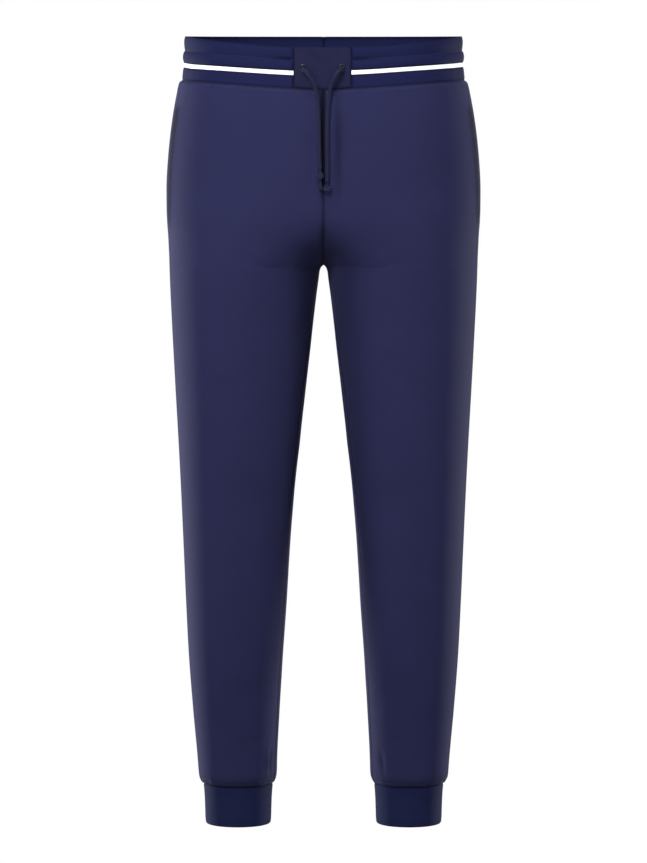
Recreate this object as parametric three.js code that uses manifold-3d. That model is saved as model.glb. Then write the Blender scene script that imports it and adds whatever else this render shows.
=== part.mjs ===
// Jogger sweatpants, empty and filled out as a waist would hold them up.
// Millimetres, +Z up, +Y to the back, +X to the wearer's left. The origin is the middle of the
// waistband's ring, half way up the band.
import * as THREE from "three";
import { mergeVertices } from "three/addons/utils/BufferGeometryUtils.js";
import Module from "manifold-3d";

// Cloth thicknesses, and the gap that stands for a seam between two pieces
const SEAM_GAP = 0.3;
const BODY_CLOTH = 2;
const BAND_CLOTH = 2.6;
const CUFF_CLOTH = 2.6;
const FACING_CLOTH = 1.2;
const STRIPE_CLOTH = 0.5;

// Heights of the main seams and edges
const BAND_HEIGHT = 53.5;
const BAND_TOP = BAND_HEIGHT / 2;
const WAIST_SEAM = -BAND_HEIGHT / 2;
const CUFF_SEAM = -949;
const CUFF_HEIGHT = 53;

// The front of the waist is cut lower than the sides: at the top edge and at the waist seam
const TOP_DIP = { drop: 11, curve: 2.3 };
const SEAM_DIP = { drop: 13, curve: 1.15 };
const DIP_FADE = 110;

// The trousers from the waist seam down to the cuff seam, a row for each level.
// half: from the middle to the outer side. ridge: from the middle to where a leg's loop is deepest.
// inner: from the middle to the inner side of the loop, negative where the two legs' loops cross
// and make one torso. front, back: how far the cloth reaches each way. square: 2 is an ellipse,
// and more is squarer.
const BODY_SECTIONS = [
  { level: -26.75, half: 184.5, ridge: 8, inner: -168.5, front: 119.5, back: 119.5, square: 2.4 },
  { level: -33, half: 188.5, ridge: 8, inner: -172.5, front: 121, back: 123, square: 2.4 },
  { level: -53, half: 192.5, ridge: 8, inner: -176.5, front: 122, back: 128, square: 2.4 },
  { level: -79, half: 197, ridge: 8, inner: -181, front: 122.5, back: 135, square: 2.4 },
  { level: -131, half: 203, ridge: 8, inner: -187, front: 122, back: 144, square: 2.35 },
  { level: -169, half: 205, ridge: 18, inner: -188, front: 119.5, back: 147, square: 2.3 },
  { level: -189, half: 205, ridge: 33, inner: -178, front: 118, back: 146.5, square: 2.3 },
  { level: -209, half: 204.4, ridge: 51, inner: -124, front: 115.5, back: 144, square: 2.25 },
  { level: -229, half: 203, ridge: 68, inner: -54, front: 113, back: 140, square: 2.2 },
  { level: -249, half: 202, ridge: 82, inner: -12, front: 110, back: 134, square: 2.15 },
  { level: -260, half: 201.5, ridge: 88, inner: 1, front: 108, back: 131, square: 2.15 },
  { level: -269, half: 201.3, ridge: 92.5, inner: 8, front: 107, back: 128.5, square: 2.15 },
  { level: -272, half: 201.2, ridge: 93.7, inner: 8.9, front: 106.5, back: 127.5, square: 2.15 },
  { level: -287, half: 200.7, ridge: 98.5, inner: 10.2, front: 104.5, back: 124, square: 2.15 },
  { level: -313, half: 199.5, ridge: 103, inner: 12.6, front: 101.5, back: 119, square: 2.15 },
  { level: -392, half: 195.7, ridge: 107, inner: 20.4, front: 94, back: 107, square: 2.1 },
  { level: -497, half: 189.9, ridge: 110.5, inner: 31.9, front: 86, back: 94, square: 2.1 },
  { level: -602, half: 184.9, ridge: 113, inner: 42.3, front: 79, back: 86, square: 2.1 },
  { level: -707, half: 180.6, ridge: 114.5, inner: 48.7, front: 72, back: 82, square: 2.1 },
  { level: -813, half: 175, ridge: 115, inner: 56, front: 63, back: 75, square: 2.1 },
  { level: -866, half: 170.3, ridge: 114.3, inner: 58.9, front: 57, back: 69, square: 2.1 },
  { level: -919, half: 165.6, ridge: 113.4, inner: 61.5, front: 51.5, back: 61.5, square: 2.1 },
  { level: -937.5, half: 164.3, ridge: 113, inner: 61.9, front: 50.5, back: 59, square: 2.1 },
  { level: -943, half: 163.4, ridge: 112.8, inner: 63, front: 49.5, back: 57.5, square: 2.05 },
  { level: -949, half: 159, ridge: 112.5, inner: 66, front: 45.5, back: 53, square: 2.05 },
];
const BODY_ROWS = [
  { to: -45, rows: 2 },
  { to: -165, rows: 4 },
  { to: -245, rows: 5 },
  { to: -269, rows: 5 },
  { to: -290, rows: 3 },
  { to: -925, rows: 9 },
  { to: -943, rows: 2 },
  { to: CUFF_SEAM + SEAM_GAP / 2, rows: 2 },
];
const FRONT_COLUMNS = { count: 12, pull: 0.5, beyond_turn: 0.62 };
const BACK_COLUMNS = { count: 16, pull: 0.35, beyond_turn: 0.52 };
// Where a leg's loop turns from its side to its front or back, which keeps the columns in line
const LEG_TURN = THREE.MathUtils.degToRad(52);
const CROTCH = -269;
const CROTCH_ROUND = 8;
// Where the four seams meet at the crotch, the panels stand back a little more
const CROTCH_TRIM = { more: 0.6, reach: 7 };

// Seams that run down a leg: how far each is turned towards the front
const SIDE_TURN = THREE.MathUtils.degToRad(14);
const INSEAM_TURN = THREE.MathUtils.degToRad(18);
const INSEAM_EASE = 140;

// Side-seam pocket: its mouth parts the front from the back, and the front's edge stands proud
const POCKET = { top: -50, bottom: -218, ease: 14, mouth: 4.5, lift: 1.6, lift_width: 14 };
const FACING = {
  from: -THREE.MathUtils.degToRad(28),
  to: -THREE.MathUtils.degToRad(12),
  below: 0.8,
  rows: 11,
  columns: 5,
};

// The one long soft fold beside the drawcords
const FOLDS = [{ x: 23, top: -45, bottom: -190, width: 11, depth: 1.8 }];

// The waistband's ring, and its outline from the top edge down, a row for each change
const BAND_RING = { half: 180, front: 115, back: 115, square: 2.4 };
const BAND_OUTLINE = [
  { down: 0, out: -0.6 },
  { down: 2, out: 0.2 },
  { down: 13.5, out: 0.3 },
  { down: 16, out: 0 },
  { down: 18.5, out: 1.4 },
  { down: 23, out: 2.5 },
  { down: 28, out: 2.2 },
  { down: 31.2, out: 1.5 },
  { down: 38.2, out: 1.7 },
  { down: 41, out: 2.3 },
  { down: 47, out: 2.9 },
  { down: BAND_HEIGHT - SEAM_GAP / 2, out: 3.8 },
];
const BAND_COLUMNS = { count: 20, pull: 0.3 };
const STRIPE = { top: 31.5, bottom: 38, off: 0.3 };

// The plain panel at the front of the band
const PANEL_HALF = 38.3;
const PANEL_OUT = 1.9;
const PANEL_COLUMNS = 10;
const PANEL_ROWS = 6;

// Eyelets, one each side of the panel
const EYELETS = [
  { side: "right", x: -26.2, z: -12 },
  { side: "left", x: 23.6, z: -11.4 },
];
const EYELET = { hole: 3.2, barrel: 3.6, rim: 5.7, rim_thick: 1.1, barrel_length: 2.4 };
const EYELET_SIDES = 18;

// Drawcords: free ends of one round cord, each down to its knot
const CORD_DIAMETER = 5.6;
const CORD_SIDES = 9;
const CORD_STEP = 7;
const CORD_ROUTES = {
  right: [
    [-26.2, -114.6, -12],
    [-26.2, -119, -12],
    [-25.6, -123.6, -12.7],
    [-23.5, -127.6, -15.2],
    [-20, -130, -19.4],
    [-16, -130.2, -25],
    [-12.5, -129, -31.5],
    [-9.6, -127.4, -39.6],
    [-7.9, -126.4, -50],
    [-7, -126.2, -62],
    [-6.5, -126.5, -78],
    [-6.1, -126.6, -95],
    [-5.7, -126.3, -112],
    [-5.2, -125.6, -128.5],
    [-4.7, -124.9, -142],
  ],
  left: [
    [23.6, -114.8, -11.4],
    [23.6, -119, -11.4],
    [23, -123.4, -11.9],
    [20.8, -127.5, -14],
    [17.6, -130, -18],
    [14, -130.6, -23.8],
    [10.9, -129.6, -30.4],
    [8.6, -127.8, -38.5],
    [7, -126.6, -48.5],
    [5.7, -126.2, -60],
    [4.9, -126.5, -76],
    [4.6, -126.6, -94],
    [4.7, -126.4, -112],
    [4.9, -125.8, -130],
    [4.9, -125, -146],
    [4.7, -124.4, -158],
  ],
};
const KNOTS = {
  right: { x: -4.9, y: -125, z: -149.9, tail: 11 },
  left: { x: 5, y: -124.4, z: -165.9, tail: 0 },
};
const KNOT = {
  turn: 2.9,
  cord: 2.6,
  apart: 1.8,
  core: 3.9,
  tilt: 0.5,
  twist: 0.2,
  sides: 7,
  steps: 10,
  cap_steps: 3,
};

// Cuffs: their outline from the seam down, a row for each change
const CUFF_CENTRE = { x: 112.2, y: 3.8 };
const CUFF_OUTLINE = [
  { down: SEAM_GAP / 2, wide: 45.8, deep: 48.2 },
  { down: 5, wide: 45.2, deep: 47.6 },
  { down: 17, wide: 44.3, deep: 46.6 },
  { down: 35, wide: 43.6, deep: 45.7 },
  { down: 49, wide: 43, deep: 45 },
  { down: CUFF_HEIGHT - 1.2, wide: 42.6, deep: 44.6 },
  { down: CUFF_HEIGHT, wide: 41.6, deep: 43.6 },
];
const CUFF_SIDES = 30;

const FINE_STEPS = 240;
const COLOURS = {
  body: 0x2e2f4e,
  band: 0x292d4a,
  cuff: 0x1e213c,
  facing: 0x1c1e36,
  stripe: 0xf3f4f6,
  cord: 0x30334e,
  metal: 0x9b9da3,
};

const wasm = await Module();
wasm.setup();

// A function that runs smoothly through one column of a table and never overshoots its rows.
function curveThrough(table, along, column) {
  const at = table.map((row) => row[along]);
  const value = table.map((row) => row[column]);
  const rise = value.slice(1).map((v, i) => (v - value[i]) / (at[i + 1] - at[i]));
  const slope = value.map((_, i) => {
    if (i === 0) return rise[0];
    if (i === rise.length) return rise[i - 1];
    const [before, after] = [rise[i - 1], rise[i]];
    return before * after <= 0 ? 0 : (2 * before * after) / (before + after);
  });
  const direction = Math.sign(at[1] - at[0]);
  return (place) => {
    let i = at.findIndex((a) => direction * a > direction * place) - 1;
    if (i < -1) i = at.length - 2;
    i = Math.max(i, 0);
    const width = at[i + 1] - at[i];
    const t = THREE.MathUtils.clamp((place - at[i]) / width, 0, 1);
    const eased = t * t * (3 - 2 * t);
    const bow = t * (1 - t) * width;
    return (
      value[i] * (1 - eased) + value[i + 1] * eased +
      bow * ((1 - t) * slope[i] - t * slope[i + 1])
    );
  };
}

const bodyCurves = {};
for (const column of ["half", "ridge", "inner", "front", "back", "square"])
  bodyCurves[column] = curveThrough(BODY_SECTIONS, "level", column);
const bandOut = curveThrough(BAND_OUTLINE, "down", "out");

function signedPower(value, power) {
  return Math.sign(value) * Math.abs(value) ** power;
}

function mix(a, b, share) {
  return a + (b - a) * share;
}

// One leg's loop at a level: its middle, its reach to either side, its depth and squareness.
function legSection(level) {
  const x = bodyCurves.ridge(level);
  const front = bodyCurves.front(level);
  const back = bodyCurves.back(level);
  return {
    x,
    y: (back - front) / 2,
    outer: bodyCurves.half(level) - x,
    inner: x - bodyCurves.inner(level),
    deep: (front + back) / 2,
    square: bodyCurves.square(level),
  };
}

// A point of a squared ellipse. The angle is 0 at the outer side and a right angle at the back.
function loopPoint({ x, y, outer, inner, deep, square }, angle) {
  const across = Math.cos(angle);
  const wide = across > 0 ? outer : inner;
  return new THREE.Vector2(
    x + wide * signedPower(across, 2 / square),
    y + deep * signedPower(Math.sin(angle), 2 / square),
  );
}

// The same on the trousers, where the two legs' loops meet in a rounded valley at the middle.
function legPoint(level, angle) {
  const point = loopPoint(legSection(level), angle);
  point.x = Math.sqrt(Math.max(point.x ** 2 - CROTCH_ROUND ** 2, 0));
  return point;
}

// The angle where a leg's loop reaches the middle, or its inner side where it doesn't.
function innerAngle(level) {
  const { x, inner, square } = legSection(level);
  const reach = (x - CROTCH_ROUND) / inner;
  return reach >= 1 ? Math.PI : Math.acos(-signedPower(reach, square / 2));
}

function innerTrim(level) {
  return SEAM_GAP / 2 + CROTCH_TRIM.more * Math.exp(-(((level - CROTCH) / CROTCH_TRIM.reach) ** 2));
}

function inseamTurn(level) {
  return INSEAM_TURN * THREE.MathUtils.smoothstep(CROTCH - level, 0, INSEAM_EASE);
}

// How far a point of the front hangs below its level, for a cut line of a given drop and curve.
function dip({ drop, curve }, point, half) {
  if (point.y >= 0) return 0;
  const share = Math.min(Math.abs(point.x) / half, 1);
  return drop * (1 - share ** curve);
}

function bodyHeight(level, point) {
  const fade = 1 - THREE.MathUtils.smoothstep(WAIST_SEAM - level, 0, DIP_FADE);
  return level - fade * dip(SEAM_DIP, point, bodyCurves.half(level));
}

function bandHeight(down, point) {
  const share = down / BAND_HEIGHT;
  const cut = {
    drop: mix(TOP_DIP.drop, SEAM_DIP.drop, share),
    curve: mix(TOP_DIP.curve, SEAM_DIP.curve, share),
  };
  return BAND_TOP - down - dip(cut, point, BAND_RING.half + bandOut(down));
}

// Points spread along a loop between two angles, each with the loop's direction and its distance
// from the loop's far end. The trims shorten the run at either end. A turn is an angle on the way,
// which a given share of the points comes before.
function spread(loop, { from, to, trims = [0, 0], turn = to, before = 1 }, shares) {
  const fine = [];
  for (let i = 0; i <= FINE_STEPS; i += 1) fine.push(loop(mix(from, to, i / FINE_STEPS)));
  const run = [0];
  for (let i = 1; i <= FINE_STEPS; i += 1) run.push(run[i - 1] + fine[i].distanceTo(fine[i - 1]));
  const total = run[FINE_STEPS];
  const end = total - trims[1];
  const middle = turn === to ? end : run[Math.round((FINE_STEPS * (turn - from)) / (to - from))];
  return shares.map((share) => {
    const at =
      share <= before
        ? mix(trims[0], middle, share / before)
        : mix(middle, end, (share - before) / (1 - before));
    const i = run.findIndex((r, k) => r > at || k === FINE_STEPS);
    const step = (at - run[i - 1]) / (run[i] - run[i - 1]);
    const point = fine[i - 1].clone().lerp(fine[i], step);
    const along = fine[i].clone().sub(fine[i - 1]).normalize();
    return { point, along, to_end: total - at };
  });
}

// Steps from 0 to 1, even where the pull is 0 and closer together towards both ends where it is more.
function closerAtEnds(count, pull) {
  return Array.from({ length: count + 1 }, (_, i) => {
    const t = i / count;
    return mix(t, (1 - Math.cos(Math.PI * t)) / 2, pull);
  });
}

// Rows of cloth points, each with its outward normal. Rows run down and columns run
// counter-clockwise seen from above.
function clothGrid(places, rowAt, heightAt) {
  const rows = places.map((place) =>
    rowAt(place).map(({ point, along, to_end }) => ({
      at: new THREE.Vector3(point.x, point.y, heightAt(place, point)),
      along,
      to_end,
      place,
    })),
  );
  rows.forEach((row, i) => {
    const above = rows[Math.max(i - 1, 0)];
    const below = rows[Math.min(i + 1, rows.length - 1)];
    row.forEach((cell, j) => {
      const before = row[Math.max(j - 1, 0)].at;
      const after = row[Math.min(j + 1, row.length - 1)].at;
      const slope = (after.z - before.z) / Math.hypot(after.x - before.x, after.y - before.y);
      const across = new THREE.Vector3(cell.along.x, cell.along.y, slope);
      const down = below[j].at.clone().sub(above[j].at);
      cell.normal = down.cross(across);
      if (Math.abs(cell.at.x) <= SEAM_GAP) cell.normal.x = 0;
      cell.normal.normalize();
    });
  });
  return rows;
}

// The same rows, moved out by a distance that may differ from point to point.
function movedOut(rows, distance) {
  return rows.map((row) =>
    row.map((cell) => ({
      ...cell,
      at: cell.at.clone().addScaledVector(cell.normal, distance(cell)),
    })),
  );
}

// The same rows on the other side of the body.
function mirrored(rows) {
  const flip = new THREE.Vector3(-1, 1, 1);
  return rows.map((row) =>
    row
      .map((cell) => ({
        ...cell,
        at: cell.at.clone().multiply(flip),
        normal: cell.normal.clone().multiply(flip),
      }))
      .reverse(),
  );
}

// A closed wall: the rows are its outside, and its inside lies a thickness inwards.
// A ring's last column joins its first.
function wall(rows, thickness, ring = false) {
  const columns = rows[0].length;
  const outer = rows.flat().map((cell) => cell.at);
  const inner = rows.flat().map((cell) => cell.at.clone().addScaledVector(cell.normal, -thickness));
  const points = [...outer, ...inner];
  const inside = outer.length;
  const index = (i, j) => i * columns + (j % columns);
  const faces = [];
  const quad = (a, b, c, d) => faces.push(a, b, c, a, c, d);
  const nearer = (a, b, c, d) => points[a].distanceTo(points[c]) <= points[b].distanceTo(points[d]);
  const spans = ring ? columns : columns - 1;
  const last = rows.length - 1;
  for (let j = 0; j < spans; j += 1) {
    for (let i = 0; i < last; i += 1) {
      const [a, b] = [index(i, j), index(i + 1, j)];
      const [c, d] = [index(i + 1, j + 1), index(i, j + 1)];
      const turned = nearer(a, b, c, d) ? [a, b, c, d] : [b, c, d, a];
      quad(...turned);
      quad(...[0, 3, 2, 1].map((corner) => inside + turned[corner]));
    }
    const [top, nextTop] = [index(0, j), index(0, j + 1)];
    const [end, nextEnd] = [index(last, j), index(last, j + 1)];
    quad(top, nextTop, inside + nextTop, inside + top);
    quad(nextEnd, end, inside + end, inside + nextEnd);
  }
  for (let i = 0; i < last && !ring; i += 1) {
    const [a, b] = [index(i, 0), index(i + 1, 0)];
    const [c, d] = [index(i, columns - 1), index(i + 1, columns - 1)];
    quad(b, a, inside + a, inside + b);
    quad(c, d, inside + d, inside + c);
  }
  const geometry = new THREE.BufferGeometry().setFromPoints(points);
  geometry.setIndex(faces);
  geometry.computeVertexNormals();
  return geometry;
}

function solidOf(geometry) {
  const bare = geometry.clone();
  bare.deleteAttribute("normal");
  bare.deleteAttribute("uv");
  const merged = mergeVertices(bare, 1e-4);
  return new wasm.Manifold(
    new wasm.Mesh({
      numProp: 3,
      vertProperties: merged.attributes.position.array,
      triVerts: new Uint32Array(merged.index.array),
    }),
  );
}

function geometryOf(solid) {
  const mesh = solid.getMesh();
  const geometry = new THREE.BufferGeometry();
  geometry.setAttribute("position", new THREE.BufferAttribute(mesh.vertProperties, 3));
  geometry.setIndex(new THREE.BufferAttribute(mesh.triVerts, 1));
  geometry.computeVertexNormals();
  return geometry;
}

const sweatpants = new THREE.Group();

function addPiece(name, geometry, { color, roughness = 0.9, metalness = 0 }) {
  const material = new THREE.MeshStandardMaterial({ color, roughness, metalness });
  const piece = new THREE.Mesh(geometry, material);
  piece.name = name;
  sweatpants.add(piece);
  return piece;
}

// Adds one piece for each side, from the rows of the wearer's left one.
function addPair(name, rows, thickness, colour) {
  addPiece(`${name}_left`, wall(rows, thickness), { color: colour });
  addPiece(`${name}_right`, wall(mirrored(rows), thickness), { color: colour });
}

// 1 along the pocket's mouth, and 0 past its ends.
function alongPocket(level) {
  const { top, bottom, ease } = POCKET;
  const opening = THREE.MathUtils.smoothstep(top - level, 0, ease);
  return opening * THREE.MathUtils.smoothstep(level - bottom, 0, ease);
}

// How deep the soft folds press the cloth in at a point of the front.
function foldDepth({ at, place }) {
  let depth = 0;
  for (const fold of FOLDS) {
    const across = Math.exp(-(((at.x - fold.x) / fold.width) ** 2));
    const along = THREE.MathUtils.clamp((fold.top - place) / (fold.top - fold.bottom), 0, 1);
    depth += fold.depth * across * Math.sin(Math.PI * along) ** 2;
  }
  return depth;
}

function pocketLift({ to_end, place }) {
  const near = Math.exp(-((to_end / POCKET.lift_width) ** 2));
  return POCKET.lift * alongPocket(place) * near;
}

const bodyLevels = [WAIST_SEAM - SEAM_GAP / 2];
for (const { to, rows } of BODY_ROWS) {
  const from = bodyLevels.at(-1);
  for (let i = 1; i <= rows; i += 1) bodyLevels.push(mix(from, to, i / rows));
}

function addFronts() {
  const { count, pull, beyond_turn } = FRONT_COLUMNS;
  const shares = closerAtEnds(count, pull);
  const rowAt = (level) => {
    const mouth = SEAM_GAP / 2 + POCKET.mouth * alongPocket(level);
    const stretch = {
      from: -innerAngle(level) + inseamTurn(level),
      turn: -LEG_TURN,
      to: -SIDE_TURN,
      before: beyond_turn,
      trims: [innerTrim(level), mouth],
    };
    return spread((angle) => legPoint(level, angle), stretch, shares);
  };
  const rows = clothGrid(bodyLevels, rowAt, bodyHeight);
  const left = movedOut(rows, (cell) => pocketLift(cell) - foldDepth(cell));
  const right = mirrored(movedOut(rows, pocketLift));
  addPiece("front_left", wall(left, BODY_CLOTH), { color: COLOURS.body });
  addPiece("front_right", wall(right, BODY_CLOTH), { color: COLOURS.body });
}

function addBacks() {
  const { count, pull, beyond_turn } = BACK_COLUMNS;
  const shares = closerAtEnds(count, pull);
  const rowAt = (level) => {
    const stretch = {
      from: -SIDE_TURN,
      turn: LEG_TURN,
      to: innerAngle(level) + inseamTurn(level),
      before: 1 - beyond_turn,
      trims: [SEAM_GAP / 2, innerTrim(level)],
    };
    return spread((angle) => legPoint(level, angle), stretch, shares);
  };
  addPair("back", clothGrid(bodyLevels, rowAt, bodyHeight), BODY_CLOTH, COLOURS.body);
}

function addPocketFacings() {
  const shares = closerAtEnds(FACING.columns, 0);
  const levels = closerAtEnds(FACING.rows, 0).map((share) => mix(POCKET.top, POCKET.bottom, share));
  const rowAt = (level) => spread((angle) => legPoint(level, angle), FACING, shares);
  const rows = clothGrid(levels, rowAt, bodyHeight);
  const under = movedOut(rows, () => -BODY_CLOTH - FACING.below);
  addPair("pocket", under, FACING_CLOTH, COLOURS.facing);
}

// The band's ring at a distance below its top edge.
function bandPoint(down, angle) {
  const out = bandOut(down);
  const deep = (BAND_RING.front + BAND_RING.back) / 2 + out;
  const wide = BAND_RING.half + out;
  return loopPoint({ x: 0, y: 0, outer: wide, inner: wide, deep, square: BAND_RING.square }, angle);
}

// The angle, in front, where the band's ring is a given distance from the middle.
function bandFrontAngle(x) {
  return -Math.acos((x / BAND_RING.half) ** (BAND_RING.square / 2));
}

function bandGrid(downs) {
  const half = {
    from: bandFrontAngle(PANEL_HALF),
    to: Math.PI / 2,
    trims: [SEAM_GAP / 2, SEAM_GAP / 2],
  };
  const shares = closerAtEnds(BAND_COLUMNS.count, BAND_COLUMNS.pull);
  const rowAt = (down) => spread((angle) => bandPoint(down, angle), half, shares);
  return clothGrid(downs, rowAt, bandHeight);
}

function addWaistband() {
  const downs = BAND_OUTLINE.map((row) => row.down);
  addPair("waistband", bandGrid(downs), BAND_CLOTH, COLOURS.band);
}

function addStripes() {
  const { top, bottom, off } = STRIPE;
  const tape = bandGrid([top, bottom]);
  const raised = movedOut(tape, () => off + STRIPE_CLOTH);
  addPair("stripe", raised, STRIPE_CLOTH, COLOURS.stripe);
}

// The panel's outer surface in front, at a distance from the middle.
function panelPoint(x) {
  const wide = BAND_RING.half + PANEL_OUT;
  const deep = BAND_RING.front + PANEL_OUT;
  const reach = (Math.abs(x) / wide) ** BAND_RING.square;
  return new THREE.Vector2(x, -deep * (1 - reach) ** (1 / BAND_RING.square));
}

// A ring turned so that its axis points out of the panel at an eyelet.
function seatedInPanel(geometry, { x, z }) {
  const { y } = panelPoint(x);
  const step = 0.5;
  const slope = (panelPoint(x + step).y - panelPoint(x - step).y) / (2 * step);
  geometry.rotateX(Math.PI);
  geometry.rotateZ(Math.atan(slope));
  geometry.translate(x, y, z);
  return geometry;
}

function addCentrePanel() {
  const reach = PANEL_HALF - SEAM_GAP / 2;
  const xs = closerAtEnds(PANEL_COLUMNS, 0).map((share) => mix(-reach, reach, share));
  const downs = closerAtEnds(PANEL_ROWS, 0).map((share) => share * (BAND_HEIGHT - SEAM_GAP / 2));
  const rowAt = () =>
    xs.map((x) => {
      const along = panelPoint(x + 1).sub(panelPoint(x - 1)).normalize();
      return { point: panelPoint(x), along, to_end: 0 };
    });
  let panel = solidOf(wall(clothGrid(downs, rowAt, bandHeight), BAND_CLOTH));
  for (const place of EYELETS) {
    const radius = EYELET.barrel + SEAM_GAP;
    const bore = new THREE.CylinderGeometry(radius, radius, 6 * BAND_CLOTH, EYELET_SIDES);
    panel = panel.subtract(solidOf(seatedInPanel(bore, place)));
  }
  addPiece("centre_panel", geometryOf(panel), { color: COLOURS.body });
}

// Eyelets: a rounded rim on the panel, and a barrel through its hole.
function addEyelets() {
  const { hole, barrel, rim, rim_thick, barrel_length } = EYELET;
  const profile = [
    [hole, -barrel_length],
    [barrel, -barrel_length],
    [barrel, SEAM_GAP],
    [rim, SEAM_GAP],
    [rim, SEAM_GAP + rim_thick * 0.5],
    [rim - rim_thick * 0.6, SEAM_GAP + rim_thick],
    [hole + rim_thick * 0.5, SEAM_GAP + rim_thick],
    [hole, SEAM_GAP + rim_thick * 0.5],
    [hole, -barrel_length],
  ].map(([r, h]) => new THREE.Vector2(r, h));
  for (const place of EYELETS) {
    const ring = seatedInPanel(new THREE.LatheGeometry(profile, EYELET_SIDES), place);
    addPiece(`eyelet_${place.side}`, ring, { color: COLOURS.metal, roughness: 0.35, metalness: 1 });
  }
}

function cordCurve(side) {
  return new THREE.CatmullRomCurve3(CORD_ROUTES[side].map((p) => new THREE.Vector3(...p)));
}

function roundSection(radius, sides) {
  const corner = (i) => {
    const angle = (2 * Math.PI * i) / sides;
    return new THREE.Vector2(radius * Math.cos(angle), radius * Math.sin(angle));
  };
  return new THREE.Shape(Array.from({ length: sides }, (_, i) => corner(i)));
}

function addCords() {
  for (const side of ["left", "right"]) {
    const route = cordCurve(side);
    const cord = new THREE.ExtrudeGeometry(roundSection(CORD_DIAMETER / 2, CORD_SIDES), {
      extrudePath: route,
      steps: Math.round(route.getLength() / CORD_STEP),
      bevelEnabled: false,
    });
    addPiece(`cord_${side}`, cord, { color: COLOURS.cord });
  }
}

// A knot: two tilted turns of the cord round its own end, with the tail where there is one.
function addKnots() {
  for (const [side, { x, y, z, tail }] of Object.entries(KNOTS)) {
    const turns = [-1, 1].map((lean) => {
      const turn = new THREE.TorusGeometry(KNOT.turn, KNOT.cord, KNOT.sides, KNOT.steps);
      turn.rotateX(Math.PI / 2 + lean * KNOT.twist);
      turn.rotateY(lean * KNOT.tilt);
      turn.translate(0, 0, -lean * KNOT.apart);
      return solidOf(turn);
    });
    const core = new THREE.SphereGeometry(KNOT.core, KNOT.steps, KNOT.sides);
    let knot = turns[0].add(turns[1]).add(solidOf(core));
    if (tail) {
      const end = new THREE.CapsuleGeometry(CORD_DIAMETER / 2, tail, KNOT.cap_steps, KNOT.sides);
      end.rotateX(Math.PI / 2);
      end.translate(0, 0, -tail / 2 - KNOT.cord);
      knot = knot.add(solidOf(end));
    }
    addPiece(`knot_${side}`, geometryOf(knot), { color: COLOURS.cord }).position.set(x, y, z);
  }
}

function addCuffs() {
  const sections = {
    wide: curveThrough(CUFF_OUTLINE, "down", "wide"),
    deep: curveThrough(CUFF_OUTLINE, "down", "deep"),
  };
  const shares = Array.from({ length: CUFF_SIDES }, (_, i) => i / CUFF_SIDES);
  const rowAt = (down) => {
    const wide = sections.wide(down);
    const ring = { ...CUFF_CENTRE, outer: wide, inner: wide, deep: sections.deep(down), square: 2.05 };
    return spread((angle) => loopPoint(ring, angle), { from: -Math.PI, to: Math.PI }, shares);
  };
  const downs = CUFF_OUTLINE.map((row) => row.down);
  const rows = clothGrid(downs, rowAt, (down) => CUFF_SEAM - down);
  addPiece("cuff_left", wall(rows, CUFF_CLOTH, true), { color: COLOURS.cuff });
  addPiece("cuff_right", wall(mirrored(rows), CUFF_CLOTH, true), { color: COLOURS.cuff });
}

addFronts();
addBacks();
addPocketFacings();
addWaistband();
addStripes();
addCentrePanel();
addEyelets();
addCords();
addKnots();
addCuffs();

export default sweatpants;
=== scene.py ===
# Jogger sweatpants, filled out with no wearer: cloth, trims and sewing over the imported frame.
# Metres, +Z up, +Y to the back, +X to the wearer's left. Left and right are the wearer's.
import math
from dataclasses import dataclass, replace
from typing import NamedTuple

import bmesh
import bpy
import numpy as np
from bpy.props import FloatProperty, FloatVectorProperty, IntProperty, PointerProperty
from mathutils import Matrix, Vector


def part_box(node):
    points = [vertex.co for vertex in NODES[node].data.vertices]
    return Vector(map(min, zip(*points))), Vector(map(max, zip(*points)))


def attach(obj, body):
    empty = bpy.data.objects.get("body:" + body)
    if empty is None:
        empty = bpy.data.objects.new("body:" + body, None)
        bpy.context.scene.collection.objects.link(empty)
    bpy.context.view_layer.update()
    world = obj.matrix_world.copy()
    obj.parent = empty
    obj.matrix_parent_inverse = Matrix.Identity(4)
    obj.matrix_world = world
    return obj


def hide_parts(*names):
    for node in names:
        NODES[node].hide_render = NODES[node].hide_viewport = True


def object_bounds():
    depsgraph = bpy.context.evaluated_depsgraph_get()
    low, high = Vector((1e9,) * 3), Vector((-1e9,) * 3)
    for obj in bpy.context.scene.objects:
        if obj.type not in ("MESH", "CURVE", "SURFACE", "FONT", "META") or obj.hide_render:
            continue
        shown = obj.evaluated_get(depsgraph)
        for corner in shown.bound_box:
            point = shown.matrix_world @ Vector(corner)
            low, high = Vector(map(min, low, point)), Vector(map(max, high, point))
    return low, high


bl_info = {
    "name": "Jogger Sweatpants",
    "version": (1, 0, 0),
    "blender": (4, 5, 0),
    "location": "View3D > Sidebar > Sweatpants",
    "description": "Builds jogger sweatpants with a taped waistband, drawcord ends and ribbed cuffs",
    "category": "Object",
}

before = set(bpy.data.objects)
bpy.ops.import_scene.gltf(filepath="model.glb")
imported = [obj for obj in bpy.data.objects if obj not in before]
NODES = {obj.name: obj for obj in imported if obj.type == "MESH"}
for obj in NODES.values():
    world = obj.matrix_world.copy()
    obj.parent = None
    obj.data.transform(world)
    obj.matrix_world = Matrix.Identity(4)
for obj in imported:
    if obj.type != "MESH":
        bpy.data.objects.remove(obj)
CAD_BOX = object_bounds()
MM = 0.001
SIDES = {"left": 1, "right": -1}

# How a cloth wall's outside is read from its solid
WELD = 1e-6
RIM_ANGLE = math.radians(50)
CORNER_ANGLE = math.radians(135)
LEVEL_STEP = 0.5 * MM

# Columns and rows lie closer near a cloth's edges, at these distances from them in millimetres. The
# first lies just past the edge, so that two cloths meet over the gap of their seam.
EDGE_STEPS = (-0.4, 0.6, 1.6, 2.7, 4.1, 5.3, 6.5, 7.7, 9.1, 10.5, 12.1)
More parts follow.
